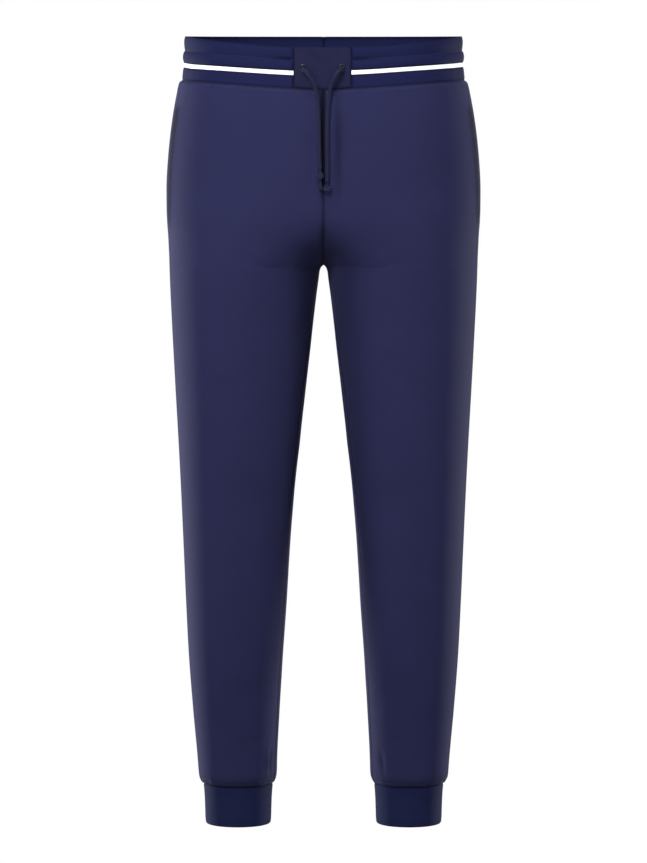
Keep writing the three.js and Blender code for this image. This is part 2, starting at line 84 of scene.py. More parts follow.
# The small pieces' points lie closer than the legs' by these shares
FINER = {"band_across": 0.5, "band_down": 0.2, "cuff": 0.6, "panel": 0.16}
# Half the gap that parts two solids at a seam
SEAM_GAP = 0.15 * MM
# Points this near the middle belong to the seams that run down it, and aren't moved sideways
MIDDLE_SEAM = 2.5 * MM

# A cloth wall's rounded rims: a share of its thickness, up to a most, at edges sharper than an angle
RIM_BEVEL = {"share": 0.25, "most": 0.6 * MM, "angle": math.radians(55)}

# Slow drifts and small flecks of the dye, counted along a metre of cloth
DYE = {"drifts": 24.0, "flecks": 700.0, "fleck_share": 0.8}
# A knit stitch's legs slant by this much, and stay this high at its sides. A rib's rows of stitches
# have this share of its relief.
KNIT_RELIEF = {"slant": 1.3, "sides": 0.45}
RIB_STITCHES = 0.35

# How dark painted shade makes the cloth: a plain seam is 1, and the deepest painted shade is more.
# The first of these is the share of its colour that painted shade at a seam takes away.
PAINTED_SHADE_DARKENS = 0.55
DEEP_SHADE = 1.6
SEAM_SHADE = 1.5 * MM
# A soft trough gets painted shade: a share at one millimetre deep, growing faster than its depth, up to a
# deepest
TROUGH_SHADE = {"share": 0.2, "power": 1.5, "deepest": 3.2}
# A line of stitches gets painted shade that grows with its depth in millimetres, less a little
STITCH_SHADE = {"growth": 1.6, "less": 0.2}
# Where the four leg seams meet, and how far around it they lie flatter
FORK = {"level": -267 * MM, "width": 18 * MM, "height": 9 * MM, "flatter": 0.9}
# The painted shade above the fork starts at a level as a thin line, and widens down to the fork
FORK_SHADE = {"from": -222 * MM, "thin": 0.8 * MM, "widening": 4.5 * MM, "power": 0.7}
# Below the fork the inseam gets painted shade, which fades down the leg
INSEAM_SHADE = {"share": 1.3, "width": 4 * MM, "fade": 30 * MM}
# None of these painted shades reaches further across a front
GROOVE_REACH = 40 * MM
# Just under the fork the inseams part in a round arch
ARCH = {"level": -271.5 * MM, "height": 2.6 * MM, "push": 1.8 * MM, "reach": 12 * MM}
# The strip of the fronts' seam that gets the cords' painted shadow, down to a level where it fades
CORD_SHADE = {"middle": -0.7 * MM, "width": 3.6 * MM, "to": -168 * MM, "fade": 3 * MM}
# Beside each pocket's mouth the back gets painted shade: between two levels, wider at the top, and
# fading at both ends
MOUTH_SHADE = {
    "top": -58 * MM,
    "bottom": -222 * MM,
    "wide": 27 * MM,
    "narrow": 12 * MM,
    "top_fade": 6 * MM,
    "bottom_fade": 12 * MM,
}
# The front's edge stands out a little along the mouth and gets painted shade. The powers narrow both strips.
MOUTH_EDGE = {"flare": 0.8 * MM, "flare_power": 4, "shade_power": 8}

# The legs' cloth reaches this far under the waistband
WAIST_LAP = 0.6 * MM
# It stands proud in a soft roll this far below the waist seam
WAIST_ROLL = {"down": 5 * MM, "width": 3 * MM, "height": 0.8 * MM}
# The two rows of stitches round each hem, this far above the cuff
HEM_STITCHES = {"rises": (6.6 * MM, 10.4 * MM), "width": 1.2 * MM, "depth": 0.5 * MM}
# The row of stitches in front of each pocket's mouth, from one distance below the waist to another
POCKET = {"top": 23 * MM, "bottom": 192 * MM, "topstitch": 6.5 * MM}

# The waistband's ring in front, where the centre panel lies over it
BAND_RING = {"half": 180 * MM, "front": 115 * MM, "square": 2.4}
PANEL_OUT = 1.9 * MM

# The waistband's top edge stands this much higher at the sides and the back than in front, where
# the rise starts at one distance from the middle and is whole at another
BAND_RISE = {"height": 2.4 * MM, "from": 60 * MM, "to": 180 * MM}
# The line of stitches that holds the elastic, below the band's top edge, with a deeper tuck beside
# the panel that leaves the band's very end free
BAND_STITCH = {
    "down": 16 * MM,
    "width": 1.7 * MM,
    "depth": 0.1 * MM,
    "free": 3 * MM,
    "tuck": 1.0 * MM,
    "reach": 26 * MM,
}
# The tape's edges below the band's top, the bed that it is sewn down into, deeper along its two
# edges, where shade is painted, and how far it stands proud
TAPE = {
    "top": 32.0 * MM,
    "bottom": 37.5 * MM,
    "bed": 0.35 * MM,
    "edge": 1.3 * MM,
    "edge_depth": 1.2,
    "edge_shade": 1.5,
    "proud": 0.4 * MM,
    "crown": 0.2 * MM,
}
# How much higher the tape was sewn on: distances from the middle with the rise at each, in
# millimetres
TAPE_RISES = {
    "left": [(0, 1.1), (66, 1.3), (91, 1.4), (117, 1.2), (142, 0.6), (168, 0), (180, 0)],
    "right": [(0, 0.6), (74, 0.6), (100, 0.4), (125, 0.1), (151, -0.6), (170, -1.2), (180, -0.6)],
}
# The panel's edge on the wearer's left lies this much nearer the middle than the other, and the band
# beside it follows, ever less along this reach
PANEL_SHY = 2.5 * MM
PANEL_SHY_REACH = 30 * MM
# The panel's top edge lies this much below the band's beside it
PANEL_DIP = 1.2 * MM
# The panel is puffed out between its seams, more bluntly down than across
PANEL_PUFF = {"height": 0.7 * MM, "sunk": 0.4 * MM, "down": 0.7, "across": 0.4}
# How the panel's top and bottom edges fall away from its middle
PANEL_BEND = 1.15
# Behind an eyelet the panel falls back this deep into the cord's tunnel, and painted shade darkens it
TUNNEL = {"depth": 3.4 * MM, "wall": 0.9 * MM, "shade": 1.75}
# An eyelet's ring is flattened in front, and drawn out into a barrel behind
EYELET = {"proud": 0.4 * MM, "front": 0.75, "barrel": 1.6}
# The braid's points for each diamond and each strand, and its radius between and on the strands
BRAID = {"steps": 3, "sides": 6, "valley": 0.95, "ridge": 0.07, "end": 0.02}
# A direction that no cord starts along, from which the braid's strands are counted
BRAID_SIDE = (0.3, 0.9, 0.2)
# How much narrower the drawcord is where its eyelet squeezes it, and along how many radii
CORD_SQUEEZE = {"share": 0.4, "radii": 4}

# The routes of the two drawcord ends, from behind the panel down to the knots, in millimetres
CORD_ROUTES = {
    "right": [
        (-26.2, -114.6, -12),
        (-26.2, -119, -12),
        (-25.6, -123.6, -12.7),
        (-23.5, -127.6, -15.2),
        (-20, -130, -19.4),
        (-16, -130.2, -25),
        (-12.5, -129, -31.5),
        (-9.6, -127.4, -39.6),
        (-7.9, -126.4, -50),
        (-7, -126.2, -62),
        (-6.5, -126.5, -78),
        (-6.1, -126.6, -95),
        (-5.7, -126.3, -112),
        (-5.2, -125.6, -128.5),
        (-4.7, -124.9, -142),
    ],
    "left": [
        (23.6, -114.8, -11.4),
        (23.6, -119, -11.4),
        (23, -123.4, -11.9),
        (20.8, -127.5, -14),
        (17.6, -130, -18),
        (14, -130.6, -23.8),
        (10.9, -129.6, -30.4),
        (8.6, -127.8, -38.5),
        (7, -126.6, -48.5),
        (5.7, -126.2, -60),
        (4.9, -126.5, -76),
        (4.6, -126.6, -94),
        (4.7, -126.4, -112),
        (4.9, -125.8, -130),
        (4.9, -125, -146),
        (4.7, -124.4, -158),
    ],
}

# The cord's way through each knot, from its top, in millimetres round the knot's middle
KNOT_ROUTES = {
    "right": [
        (0.2, 0.1, 8.6),
        (0.3, 0.3, 5.4),
        (1.7, 1.5, 2.9),
        (2.7, -0.2, 0.5),
        (0.6, -2.3, -0.6),
        (-2.2, -1.5, 0.7),
        (-2.6, 1.0, 2.4),
        (-0.2, 2.1, 3.2),
        (2.0, 0.4, 3.0),
        (1.2, -1.9, 1.2),
        (-0.6, -1.5, -2.4),
        (-0.4, 0.0, -6.2),
        (0.4, 0.4, -10.6),
        (1.3, 0.4, -14.6),
        (1.9, 0.4, -17.8),
    ],
    "left": [
        (-0.2, 0.1, 8.3),
        (-0.3, 0.4, 5.0),
        (-1.9, 1.3, 2.3),
        (-2.6, -0.6, 0.2),
        (-0.3, -2.3, -1.1),
        (2.4, -1.2, -0.3),
        (2.5, 1.2, 1.3),
        (0.0, 2.2, 2.0),
        (-1.9, 0.4, 2.2),
        (-0.9, -1.9, 0.6),
        (0.8, -1.2, -2.6),
        (1.0, 0.2, -4.4),
    ],
}
KNOT_MIDDLES = {"right": (-4.9, -125, -149.9), "left": (5, -124.4, -165.9)}


class Crease(NamedTuple):
    """A soft trough of the cloth, in millimetres. Its start and end count across from the middle
    seam or inseam, and down from the waist seam. A ridge has a negative depth, and bow bends the
    line sideways."""

    start: tuple
    end: tuple
    width: float
    depth: float
    bow: float


# A crease's ends have this share of its depth
CREASE_ENDS = 0.35
FRONT_CREASES = [
    Crease((8, 212), (62, 236), 17, 0.2, 4),
    Crease((12, 230), (44, 262), 12, 0.1, -3),
    Crease((16, 196), (96, 204), 22, 0.7, 6),
    Crease((10, 300), (64, 372), 20, 0.7, 5),
    Crease((52, 556), (128, 540), 26, 0.8, 6),
    Crease((30, 604), (96, 616), 24, -0.6, -5),
    Crease((20, 806), (88, 818), 20, 0.8, 5),
    Crease((64, 850), (132, 842), 16, 0.7, -4),
    Crease((28, 876), (80, 884), 10, 0.6, 3),
]
# The seam between the fronts sinks in behind the cords and again above the fork
FRONT_GROOVES = [
    Crease((0, 0), (0, 148), 3.6, 4.2, 0),
    Crease((0, 176), (0, 222), 3.8, 2.6, 0),
]
PANEL_CREASES = [
    Crease((8, 2), (40, 26), 5, 0.9, 3),
    Crease((64, 4), (46, 24), 6, 0.7, -2),
    Crease((20, 34), (30, 50), 6, 0.7, 1),
    Crease((50, 32), (48, 50), 5, 0.6, 1),
]
FRONT_TUCKS = {
    "right": [
        Crease((148, -2), (147, 8), 1.9, 2.4, 0.3),
        Crease((15, 4), (14, 128), 6, 1.2, 0.6),
    ],
    "left": [
        Crease((156, -2), (154, 11), 2.8, 1.5, 0.4),
        Crease((148, -2), (149, 9), 3.0, 0.8, 0.3),
        Crease((18, 0), (18, 156), 6, 2.7, 0.8),
    ],
}
HEM_TUCKS = {
    "right": [
        Crease((15, 896), (16, 926), 2.4, 2.8, 0.8),
        Crease((21, 892), (20, 926), 3.2, -1.5, 0.8),
    ],
    "left": [Crease((26, 896), (28, 926), 3.6, 1.6, -0.8)],
}
BACK_CREASES = [
    Crease((14, 246), (92, 268), 15, -2.1, 9),
    Crease((24, 274), (120, 286), 19, -1.5, 12),
    Crease((40, 314), (116, 322), 22, -1.0, 8),
    Crease((40, 500), (150, 516), 18, -1.3, -8),
    Crease((66, 540), (170, 532), 20, -1.5, 9),
    Crease((44, 584), (134, 596), 22, -1.1, 7),
    Crease((60, 660), (150, 650), 24, -0.8, -6),
    Crease((40, 812), (134, 824), 18, -0.9, 5),
    Crease((70, 862), (150, 856), 13, -0.9, -4),
]
# Small gathers where the elastic draws the cloth in, with the places left to a seeded draw
GATHERS = {
    "waist_front": {"count": 16, "reach": 15, "width": 3.6, "depth": 0.45, "seed": 11},
    "waist_back": {"count": 30, "reach": 30, "width": 4.2, "depth": 0.95, "seed": 23},
    "hem": {"count": 17, "reach": 20, "width": 3.6, "depth": 0.75, "seed": 37},
    "band": {"count": 34, "reach": 22, "width": 3.0, "depth": 0.38, "seed": 53},
}
# Each gather's place in its share of the edge, its shares of these measures, and its lean are drawn
# between these
GATHER_DRAWS = {
    "place": (0.1, 0.9),
    "width": (0.7, 1.5),
    "reach": (0.4, 1.2),
    "depth": (0.3, 1.2),
    "lean": (-0.15, 0.15),
}
# A stitch lies this share of its thread's thickness above the cloth
STITCH_LIFT = 0.3
FLOOR_SIZE = 60


def srgb(hex_colour):
    """A hex colour as linear red, green, blue and alpha."""
    channels = [((hex_colour >> shift) & 255) / 255 for shift in (16, 8, 0)]
    linear = [c / 12.92 if c <= 0.04045 else ((c + 0.055) / 1.055) ** 2.4 for c in channels]
    return (*linear, 1.0)


def length_property(name, description, default, **limits):
    return FloatProperty(
        name=name, description=description, default=default, unit="LENGTH", precision=4, **limits
    )


def colour_property(name, description, hex_colour):
    return FloatVectorProperty(
        name=name,
        description=description,
        default=srgb(hex_colour),
        size=4,
        min=0,
        max=1,
        subtype="COLOR",
    )


class SWEATPANTS_PG_cloth(bpy.types.PropertyGroup):
    cell: length_property("Cell", "Spacing of the fine cloth's points", 5 * MM)
    body: length_property("Body Cloth", "Thickness of the leg panels", 2 * MM)
    band: length_property("Band Cloth", "Thickness of the waistband", 2.6 * MM)
    cuff: length_property("Cuff Cloth", "Thickness of the folded cuffs", 2.6 * MM)
    facing: length_property("Facing Cloth", "Thickness of the pocket facings", 1.2 * MM)
    tape: length_property("Tape", "Thickness of the white tape", 0.5 * MM)
    seam_depth: length_property("Seam Depth", "How far a panel's edge turns into its seam", 1.1 * MM)
    seam_width: length_property("Seam Width", "How far from the seam the turn reaches", 1.9 * MM)
    wale: length_property("Wale", "Width of a column of knit stitches", 1.5 * MM)
    course: length_property("Course", "Height of a row of knit stitches", 1.1 * MM)
    rib: length_property("Rib", "Width of a rib of the cuffs", 2.6 * MM)
    body_colour: colour_property("Body Colour", "Colour of the leg panels", 0x1C1D38)
    band_colour: colour_property("Band Colour", "Colour of the waistband", 0x111430)
    panel_colour: colour_property("Panel Colour", "Colour of the waistband's centre panel", 0x15162C)
    cuff_colour: colour_property("Cuff Colour", "Colour of the cuffs", 0x121630)
    # The facings' near-black is painted shade for the pocket's shaded inside; their cloth is the body's knit
    facing_shade_colour: colour_property("Facing Colour", "Colour of the pocket facings", 0x08080F)
    tape_colour: colour_property("Tape Colour", "Colour of the tape on the waistband", 0xE4E6EA)


class SWEATPANTS_PG_trim(bpy.types.PropertyGroup):
    cord: length_property("Cord", "Diameter of the drawcord", 5.6 * MM)
    braid: length_property("Braid", "Height of one diamond of the drawcord's braid", 2.4 * MM)
    carriers: IntProperty(
        name="Carriers", description="Strands of the braid that go one way", default=7, min=3
    )
    eyelet_rim: length_property("Eyelet Rim", "Outer radius of an eyelet", 5.1 * MM)
    eyelet_hole: length_property("Eyelet Hole", "Inner radius of an eyelet", 3.2 * MM)
    stitch: length_property("Stitch", "Length of one stitch", 2.3 * MM)
    stitch_pitch: length_property("Stitch Pitch", "From one stitch to the next", 3.0 * MM)
    thread: length_property("Thread", "Thickness of the sewing thread", 0.42 * MM)
    cord_colour: colour_property("Cord Colour", "Colour of the drawcord", 0x0E1026)
    metal_colour: colour_property("Metal Colour", "Colour of the eyelets", 0x26282F)
    thread_colour: colour_property("Thread Colour", "Colour of the sewing thread", 0x10122A)


class SWEATPANTS_PG_stage(bpy.types.PropertyGroup):
    distance: length_property("Distance", "From the camera to the trousers", 6.06)
    height: length_property("Height", "The camera's height in the frame", -1.25 * MM)
    lens: FloatProperty(name="Lens", description="Focal length of the camera", default=193.97, unit="CAMERA")
    tilt: FloatProperty(
        name="Tilt",
        description="How far the camera looks down",
        default=math.atan2(484.4, 6060),
        subtype="ANGLE",
    )
    floor_drop: length_property("Floor Drop", "From the cuffs down to the floor", 0.35)
    daylight: FloatProperty(name="Daylight", description="Strength of the white surroundings", default=1.0)
    white: colour_property("White", "Colour of the surroundings and the floor", 0xFFFFFF)


# Smooth curves through the rows of the solids

def curve_through(at, values, places):
    """A smooth curve through values at growing distances, read at other distances."""
    values = np.asarray(values, float)
    flat = values.reshape(len(at), -1)
    step = np.diff(at)[:, None]
    rise = np.diff(flat, axis=0) / step
    slope = np.vstack([rise[:1], rise])
    if len(at) > 2:
        slope[1:-1] = (rise[:-1] * step[1:] + rise[1:] * step[:-1]) / (step[:-1] + step[1:])
        slope[0] = 1.5 * rise[0] - 0.5 * slope[1]
        slope[-1] = 1.5 * rise[-1] - 0.5 * slope[-2]
    i = np.clip(np.searchsorted(at, places, side="right") - 1, 0, len(at) - 2)
    t = ((np.asarray(places) - np.asarray(at)[i]) / step[i, 0])[:, None]
    eased = t * t * (3 - 2 * t)
    bow = step[i] * t * (1 - t)
    curve = flat[i] * (1 - eased) + flat[i + 1] * eased
    curve += bow * ((1 - t) * slope[i] - t * slope[i + 1])
    return curve.reshape(len(curve), *values.shape[1:])


def run_along(points, axis):
    """The distance along rows or columns of points, from their first one."""
    gaps = np.linalg.norm(np.diff(points, axis=axis), axis=-1)
    start = np.zeros_like(np.take(gaps, [0], axis=axis))
    return np.concatenate([start, np.cumsum(gaps, axis=axis)], axis=axis)


def fine_steps(total, cell):
    """Distances from one edge to the other, closer together near both."""
    near = np.array(EDGE_STEPS) * MM
    middle = total - 2 * near[-1]
    count = max(int(round(middle / cell)), 1)
    even = near[-1] + middle * np.arange(1, count) / count
    return np.concatenate([near, even, (total - near)[::-1]])


@dataclass
class Cloth:
    """A fine cloth: its points, normals and distances from the first column and the first row.
    Painted shade is 0 where it lies loose, 1 at a plain seam, and more where deeper shade is painted."""

    points: np.ndarray
    normals: np.ndarray
    across: np.ndarray
    down: np.ndarray
    painted_shade: np.ndarray | float = 0.0

    def moved(self, distance):
        """The same cloth, moved along its normals by a distance that may differ from point to point."""
        shift = np.broadcast_to(distance, self.across.shape)[..., None]
        return replace(self, points=self.points + self.normals * shift)

    # Adds painted shade, which darkens the cloth's colour
    def with_painted_shade(self, share):
        return replace(self, painted_shade=np.maximum(self.painted_shade, share))


def normals_of(points, facing):
    """Normals of a cloth. The one in its middle looks the facing way."""
    along = np.gradient(points, axis=0)
    across = np.gradient(points, axis=1)
    normals = np.cross(along, across)
    middle = normals[len(normals) // 2, normals.shape[1] // 2]
    if middle @ np.array(facing) < 0:
        normals = -normals
    on_middle_seam = np.abs(points[..., 0]) <= MIDDLE_SEAM
    normals[..., 0] = np.where(on_middle_seam, 0, normals[..., 0])
    return normals / np.linalg.norm(normals, axis=-1, keepdims=True)


def fine_cloth(rows, facing, cell, row_cell=None):
    """A fine cloth through a solid's rows."""
    at = run_along(rows, 0).mean(axis=1)
    downs = fine_steps(at[-1], row_cell or cell)
    columns = curve_through(at, rows, downs)
    widths = run_along(columns, 1)
    width = widths[:, -1].mean()
    shares = fine_steps(width, cell) / width
    points = np.array([curve_through(w, row, shares * w[-1]) for w, row in zip(widths, columns)])
    across = shares[None, :] * widths[:, -1:]
    down = np.repeat(downs[:, None], len(shares), axis=1)
    return Cloth(points, normals_of(points, facing), across, down)


def fine_ring(rows, facing, cell):
    """A fine tube through a solid's rings. Its last column lies on its first."""
    at = run_along(rows, 0).mean(axis=1)
    downs = fine_steps(at[-1], cell)
    wrap = 3
    around = np.concatenate([rows[:, -wrap:], rows, rows[:, : wrap + 1]], axis=1)
    columns = curve_through(at, around, downs)
    widths = run_along(columns, 1)
    first, last = wrap, wrap + rows.shape[1]
    count = int(round((widths[0, last] - widths[0, first]) / cell))
    shares = np.arange(count + 1) / count
    points = []
    for w, row in zip(widths, columns):
        points.append(curve_through(w, row, w[first] + shares * (w[last] - w[first])))
    points = np.array(points)
    points[:, -1] = points[:, 0]
    normals = normals_of(points, facing)
    joined = normals[:, 0] + normals[:, -1]
    normals[:, 0] = normals[:, -1] = joined / np.linalg.norm(joined, axis=-1, keepdims=True)
    across = shares[None, :] * (widths[:, last] - widths[:, first])[:, None]
    down = np.repeat(downs[:, None], len(shares), axis=1)
    return Cloth(points, normals, across, down)


# Reading the outside of a cloth wall from its solid

def outer_side(node, facing):
    """The outside of a wall as a mesh, grown from the face that looks most the facing way."""
    side = bmesh.new()
    side.from_mesh(NODES[node].data)
    bmesh.ops.remove_doubles(side, verts=side.verts, dist=WELD)
    side.normal_update()
    facing = Vector(facing)
    seed = max(side.faces, key=lambda face: facing.dot(face.normal + face.calc_center_median()))
    found = {seed}
    reached = [seed]
    while reached:
        for edge in reached.pop().edges:
            if edge.calc_face_angle(0) > RIM_ANGLE:
                continue
            fresh = [face for face in edge.link_faces if face not in found]
            found.update(fresh)
            reached.extend(fresh)
    rest = [face for face in side.faces if face not in found]
    bmesh.ops.delete(side, geom=rest, context="FACES")
    return side


def neighbours(vert):
    return {edge.other_vert(vert) for edge in vert.link_edges}


def edge_walk(first, second, corners):
    """The points along a mesh's edge, from one corner to the next."""
    path = [first, second]
    while path[-1] not in corners:
        here, before = path[-1], path[-2]
        ahead = [edge.other_vert(here) for edge in here.link_edges if edge.is_boundary]
        path.append(next(vert for vert in ahead if vert != before))
    return path


def panel_rows(node, facing, towards):
    """A panel's rows of points, from the corner that lies farthest towards a direction.
    Rows run down, and columns run away from that corner."""
    side = outer_side(node, facing)
    corners = []
    for vert in side.verts:
        if sum(loop.calc_angle() for loop in vert.link_loops) < CORNER_ANGLE:
            corners.append(vert)
    # The fork makes a fifth corner, between the top two and the bottom two
    corners.sort(key=lambda vert: vert.co.z)
    corners = set(corners[:2] + corners[-2:])
    start = max(corners, key=lambda vert: vert.co.dot(Vector(towards)))
    beside = [edge.other_vert(start) for edge in start.link_edges if edge.is_boundary]
    below, across = sorted(beside, key=lambda vert: vert.co.z)
    rows = [edge_walk(start, across, corners)]
    for left in edge_walk(start, below, corners)[1:]:
        row = [left]
        for above_left, above in zip(rows[-1], rows[-1][1:]):
            (vert,) = neighbours(row[-1]) & neighbours(above) - {above_left}
            row.append(vert)
        rows.append(row)
    points = np.array([[vert.co for vert in row] for row in rows])
    side.free()
    return points


def ring_rows(node, facing):
    """A tube's rings of points from the top down, each counter-clockwise seen from above."""
    side = outer_side(node, facing)
    levels = {}
    for vert in side.verts:
        levels.setdefault(round(vert.co.z / LEVEL_STEP), []).append(vert.co.copy())
    side.free()
    rows = []
    for level in sorted(levels, reverse=True):
        ring = np.array(levels[level])
        x, y = (ring - ring.mean(axis=0))[:, :2].T
        rows.append(ring[np.argsort(np.arctan2(y, x))])
    return np.array(rows)


# Shaping fine cloth

def trough(cloth, crease):
    """How deep one soft trough presses in at each point of a cloth, in metres."""
    a, b = np.array(crease.start) * MM, np.array(crease.end) * MM
    run = b - a
    length = np.linalg.norm(run)
    x, y = cloth.across - a[0], cloth.down - a[1]
    along = (x * run[0] + y * run[1]) / length**2
    aside = (x * run[1] - y * run[0]) / length
    inside = np.clip(along, 0, 1)
    aside = aside - crease.bow * MM * np.sin(math.pi * inside)
    past = (along - inside) * length
    distance = (aside**2 + past**2) / (crease.width * MM) ** 2
    taper = CREASE_ENDS + (1 - CREASE_ENDS) * np.sin(math.pi * inside)
    return crease.depth * MM * taper * np.exp(-distance)


def creased(cloth, creases):
    """A cloth with its troughs and ridges, and painted shade in the troughs."""
    press = sum(trough(cloth, crease) for crease in creases)
    deep = np.clip(press / MM, 0, TROUGH_SHADE["deepest"])
    return cloth.moved(-press).with_painted_shade(TROUGH_SHADE["share"] * deep ** TROUGH_SHADE["power"])


def gathered(cloth, name, at_bottom=False, turn=0):
    """A cloth drawn in along its top or bottom edge by many small uneven gathers."""
    make = GATHERS[name]
    draw = np.random.default_rng(make["seed"] + turn)
    edge = cloth.down[-1, 0] - cloth.down if at_bottom else cloth.down
    width = cloth.across[:, -1:]
    press = np.zeros_like(cloth.across)
    for i in range(make["count"]):
        place = (i + draw.uniform(*GATHER_DRAWS["place"])) / make["count"]
        wide = make["width"] * MM * draw.uniform(*GATHER_DRAWS["width"])
        reach = make["reach"] * MM * draw.uniform(*GATHER_DRAWS["reach"])
        deep = make["depth"] * MM * draw.uniform(*GATHER_DRAWS["depth"])
        lean = draw.uniform(*GATHER_DRAWS["lean"])
        aside = cloth.across - place * width - lean * edge
        press += deep * np.exp(-((aside / wide) ** 2) - (edge / reach) ** 2)
    return cloth.moved(-press)


def edge_distance(cloth, edges):
    """The distance from each point to the nearest of the named edges."""
    width, height = cloth.across[:, -1:], cloth.down[-1:, :]
    ways = {
        "first": cloth.across,
        "last": width - cloth.across,
        "top": cloth.down,
        "bottom": height - cloth.down,
    }
    return np.maximum(np.min([ways[edge] for edge in edges], axis=0), 0)


def seamed(cloth, edges, depth=1.0):
    """A cloth whose named edges turn into their seams, less so at the fork."""
    sizes = bpy.context.scene.sweatpants_cloth
    near = np.exp(-((edge_distance(cloth, edges) / sizes.seam_width) ** 2))
    x, level = cloth.points[..., 0], cloth.points[..., 2]
    at_fork = np.exp(-((x / FORK["width"]) ** 2) - ((level - FORK["level"]) / FORK["height"]) ** 2)
    return cloth.moved(-depth * sizes.seam_depth * near * (1 - FORK["flatter"] * at_fork))


def channel(cloth, down, width, depth):
    """A cloth with a narrow groove along a row, as a line of stitches pulls it in, and painted shade in it.
    """
    near = np.exp(-(((cloth.down - down) / width) ** 2))
    dark = np.clip(STITCH_SHADE["growth"] * depth / MM - STITCH_SHADE["less"], 0, DEEP_SHADE)
    return cloth.moved(-depth * near).with_painted_shade(near * dark)


# Making pieces

def deselect():
    bpy.ops.object.select_all(action="DESELECT")


def active(piece):
    deselect()
    piece.select_set(True)
    bpy.context.view_layer.objects.active = piece


def apply_modifier(piece, kind, **settings):
    active(piece)
    modifier = piece.modifiers.new(kind.title(), kind)
    for key, value in settings.items():
        setattr(modifier, key, value)
    bpy.ops.object.modifier_apply(modifier=modifier.name)


def weld(piece):
    """Joins the points of a piece that lie on each other, as where a tube closes."""
    active(piece)
    bpy.ops.object.mode_set(mode="EDIT")
    bpy.ops.mesh.select_all(action="SELECT")
    bpy.ops.mesh.remove_doubles(threshold=WELD)
    bpy.ops.object.mode_set(mode="OBJECT")


def settled(piece, material):
    """A finished piece: its place in its mesh, its material on it, and on the garment's body."""
    active(piece)
    bpy.ops.object.transform_apply(location=True, rotation=True, scale=True)
    bpy.ops.object.shade_smooth()
    piece.data.materials.clear()
    piece.data.materials.append(material)
    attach(piece, "root")
    return piece


def grid_piece(name, cloth):
    """A grid with a vertex for each point of the cloth and a UV map in metres."""
    rows, columns = cloth.across.shape
    deselect()
    bpy.ops.mesh.primitive_grid_add(x_subdivisions=columns - 1, y_subdivisions=rows - 1, size=1)
    piece = bpy.context.object
    piece.name = piece.data.name = name
    mesh = piece.data
    corners = np.zeros(len(mesh.loops), int)
    mesh.loops.foreach_get("vertex_index", corners)
    mesh.vertices.foreach_set("co", cloth.points.reshape(-1))
    uv = np.stack([cloth.across.ravel()[corners], -cloth.down.ravel()[corners]], axis=1)
    mesh.uv_layers[0].data.foreach_set("uv", uv.ravel())
    mesh.update()
    middle = mesh.polygons[len(mesh.polygons) // 2]
    outward = cloth.normals.reshape(-1, 3)[middle.vertices[0]]
    if np.dot(middle.normal, outward) < 0:
        mesh.flip_normals()
    return piece


def mark_seams(piece, cloth, edges):
    """An attribute of painted shade, which darkens the cloth's colour: 1 at its seams."""
    near = np.exp(-((edge_distance(cloth, edges) / SEAM_SHADE) ** 2))
    layer = piece.data.attributes.new("painted_shade", "FLOAT", "POINT")
    layer.data.foreach_set("value", np.maximum(near, cloth.painted_shade).ravel().astype(np.float32))


def cloth_piece(name, cloth, thickness, edges=("first", "last", "top", "bottom"), closed=False):
    """A cloth wall under a fine cloth, with rounded rims."""
    piece = grid_piece(name, cloth)
    mark_seams(piece, cloth, edges)
    if closed:
        weld(piece)
    apply_modifier(piece, "SOLIDIFY", thickness=thickness, offset=-1, use_even_offset=True)
    apply_modifier(
        piece,
        "BEVEL",
        width=min(RIM_BEVEL["share"] * thickness, RIM_BEVEL["most"]),
        segments=2,
        limit_method="ANGLE",
        angle_limit=RIM_BEVEL["angle"],
    )
    return piece


# Materials

def add_node(tree, kind, links=(), **settings):
    """Adds a node with its settings, and links its inputs to sockets or sets them to values."""
    node = tree.nodes.new(kind)
    for key, value in settings.items():
        setattr(node, key, value)
    for name, value in dict(links).items():
        socket = node.inputs[name]
        if isinstance(value, bpy.types.NodeSocket):
            tree.links.new(value, socket)
        else:
            socket.default_value = value
    return node


def math_node(tree, operation, a, b=0.0):
    return add_node(tree, "ShaderNodeMath", {0: a, 1: b}, operation=operation).outputs[0]


def new_material(name, **shader):
    """A material with a Principled shader and its constants set on the shader's own sockets."""
    material = bpy.data.materials.new(name)
    material.use_nodes = True
    tree = material.node_tree
    tree.nodes.clear()
    surface = add_node(tree, "ShaderNodeBsdfPrincipled", shader)
    add_node(tree, "ShaderNodeOutputMaterial", {"Surface": surface.outputs[0]})
    return material, tree, surface


def cloth_places(tree, across, down):
    """The cloth's own UV map, counted in stitches: the column and the row of each place."""
    uv = add_node(tree, "ShaderNodeUVMap", uv_map="UVMap").outputs[0]
    scaled = add_node(
        tree, "ShaderNodeMapping", {"Vector": uv, "Scale": (1 / across, 1 / down, 1)}
    ).outputs[0]
    split = add_node(tree, "ShaderNodeSeparateXYZ", {0: scaled})
    return uv, split.outputs[0], split.outputs[1]


def knit_height(tree, column, row):
    """The relief of a plain knit: a chevron of two slanted legs in each stitch."""
    aside = math_node(tree, "ABSOLUTE", math_node(tree, "SUBTRACT", math_node(tree, "FRACT", column), 0.5))
    slant = math_node(tree, "ADD", row, math_node(tree, "MULTIPLY", aside, KNIT_RELIEF["slant"]))
    leg = math_node(tree, "PINGPONG", slant, 0.5)
    between = math_node(tree, "SINE", math_node(tree, "MULTIPLY", aside, math.tau))
    return math_node(tree, "MULTIPLY", leg, math_node(tree, "ADD", between, KNIT_RELIEF["sides"]))


def rib_height(tree, column, row):
    """The relief of a rib knit: round ribs, each with its own rows of stitches."""
    rib = math_node(tree, "ABSOLUTE", math_node(tree, "SINE", math_node(tree, "MULTIPLY", column, math.pi)))
    stitch = math_node(tree, "PINGPONG", row, 0.5)
    return math_node(tree, "ADD", rib, math_node(tree, "MULTIPLY", stitch, RIB_STITCHES))


def noise(tree, place, scale, **more):
    inputs = {"Vector": place, "Scale": scale, **more}
    return add_node(tree, "ShaderNodeTexNoise", inputs).outputs[0]


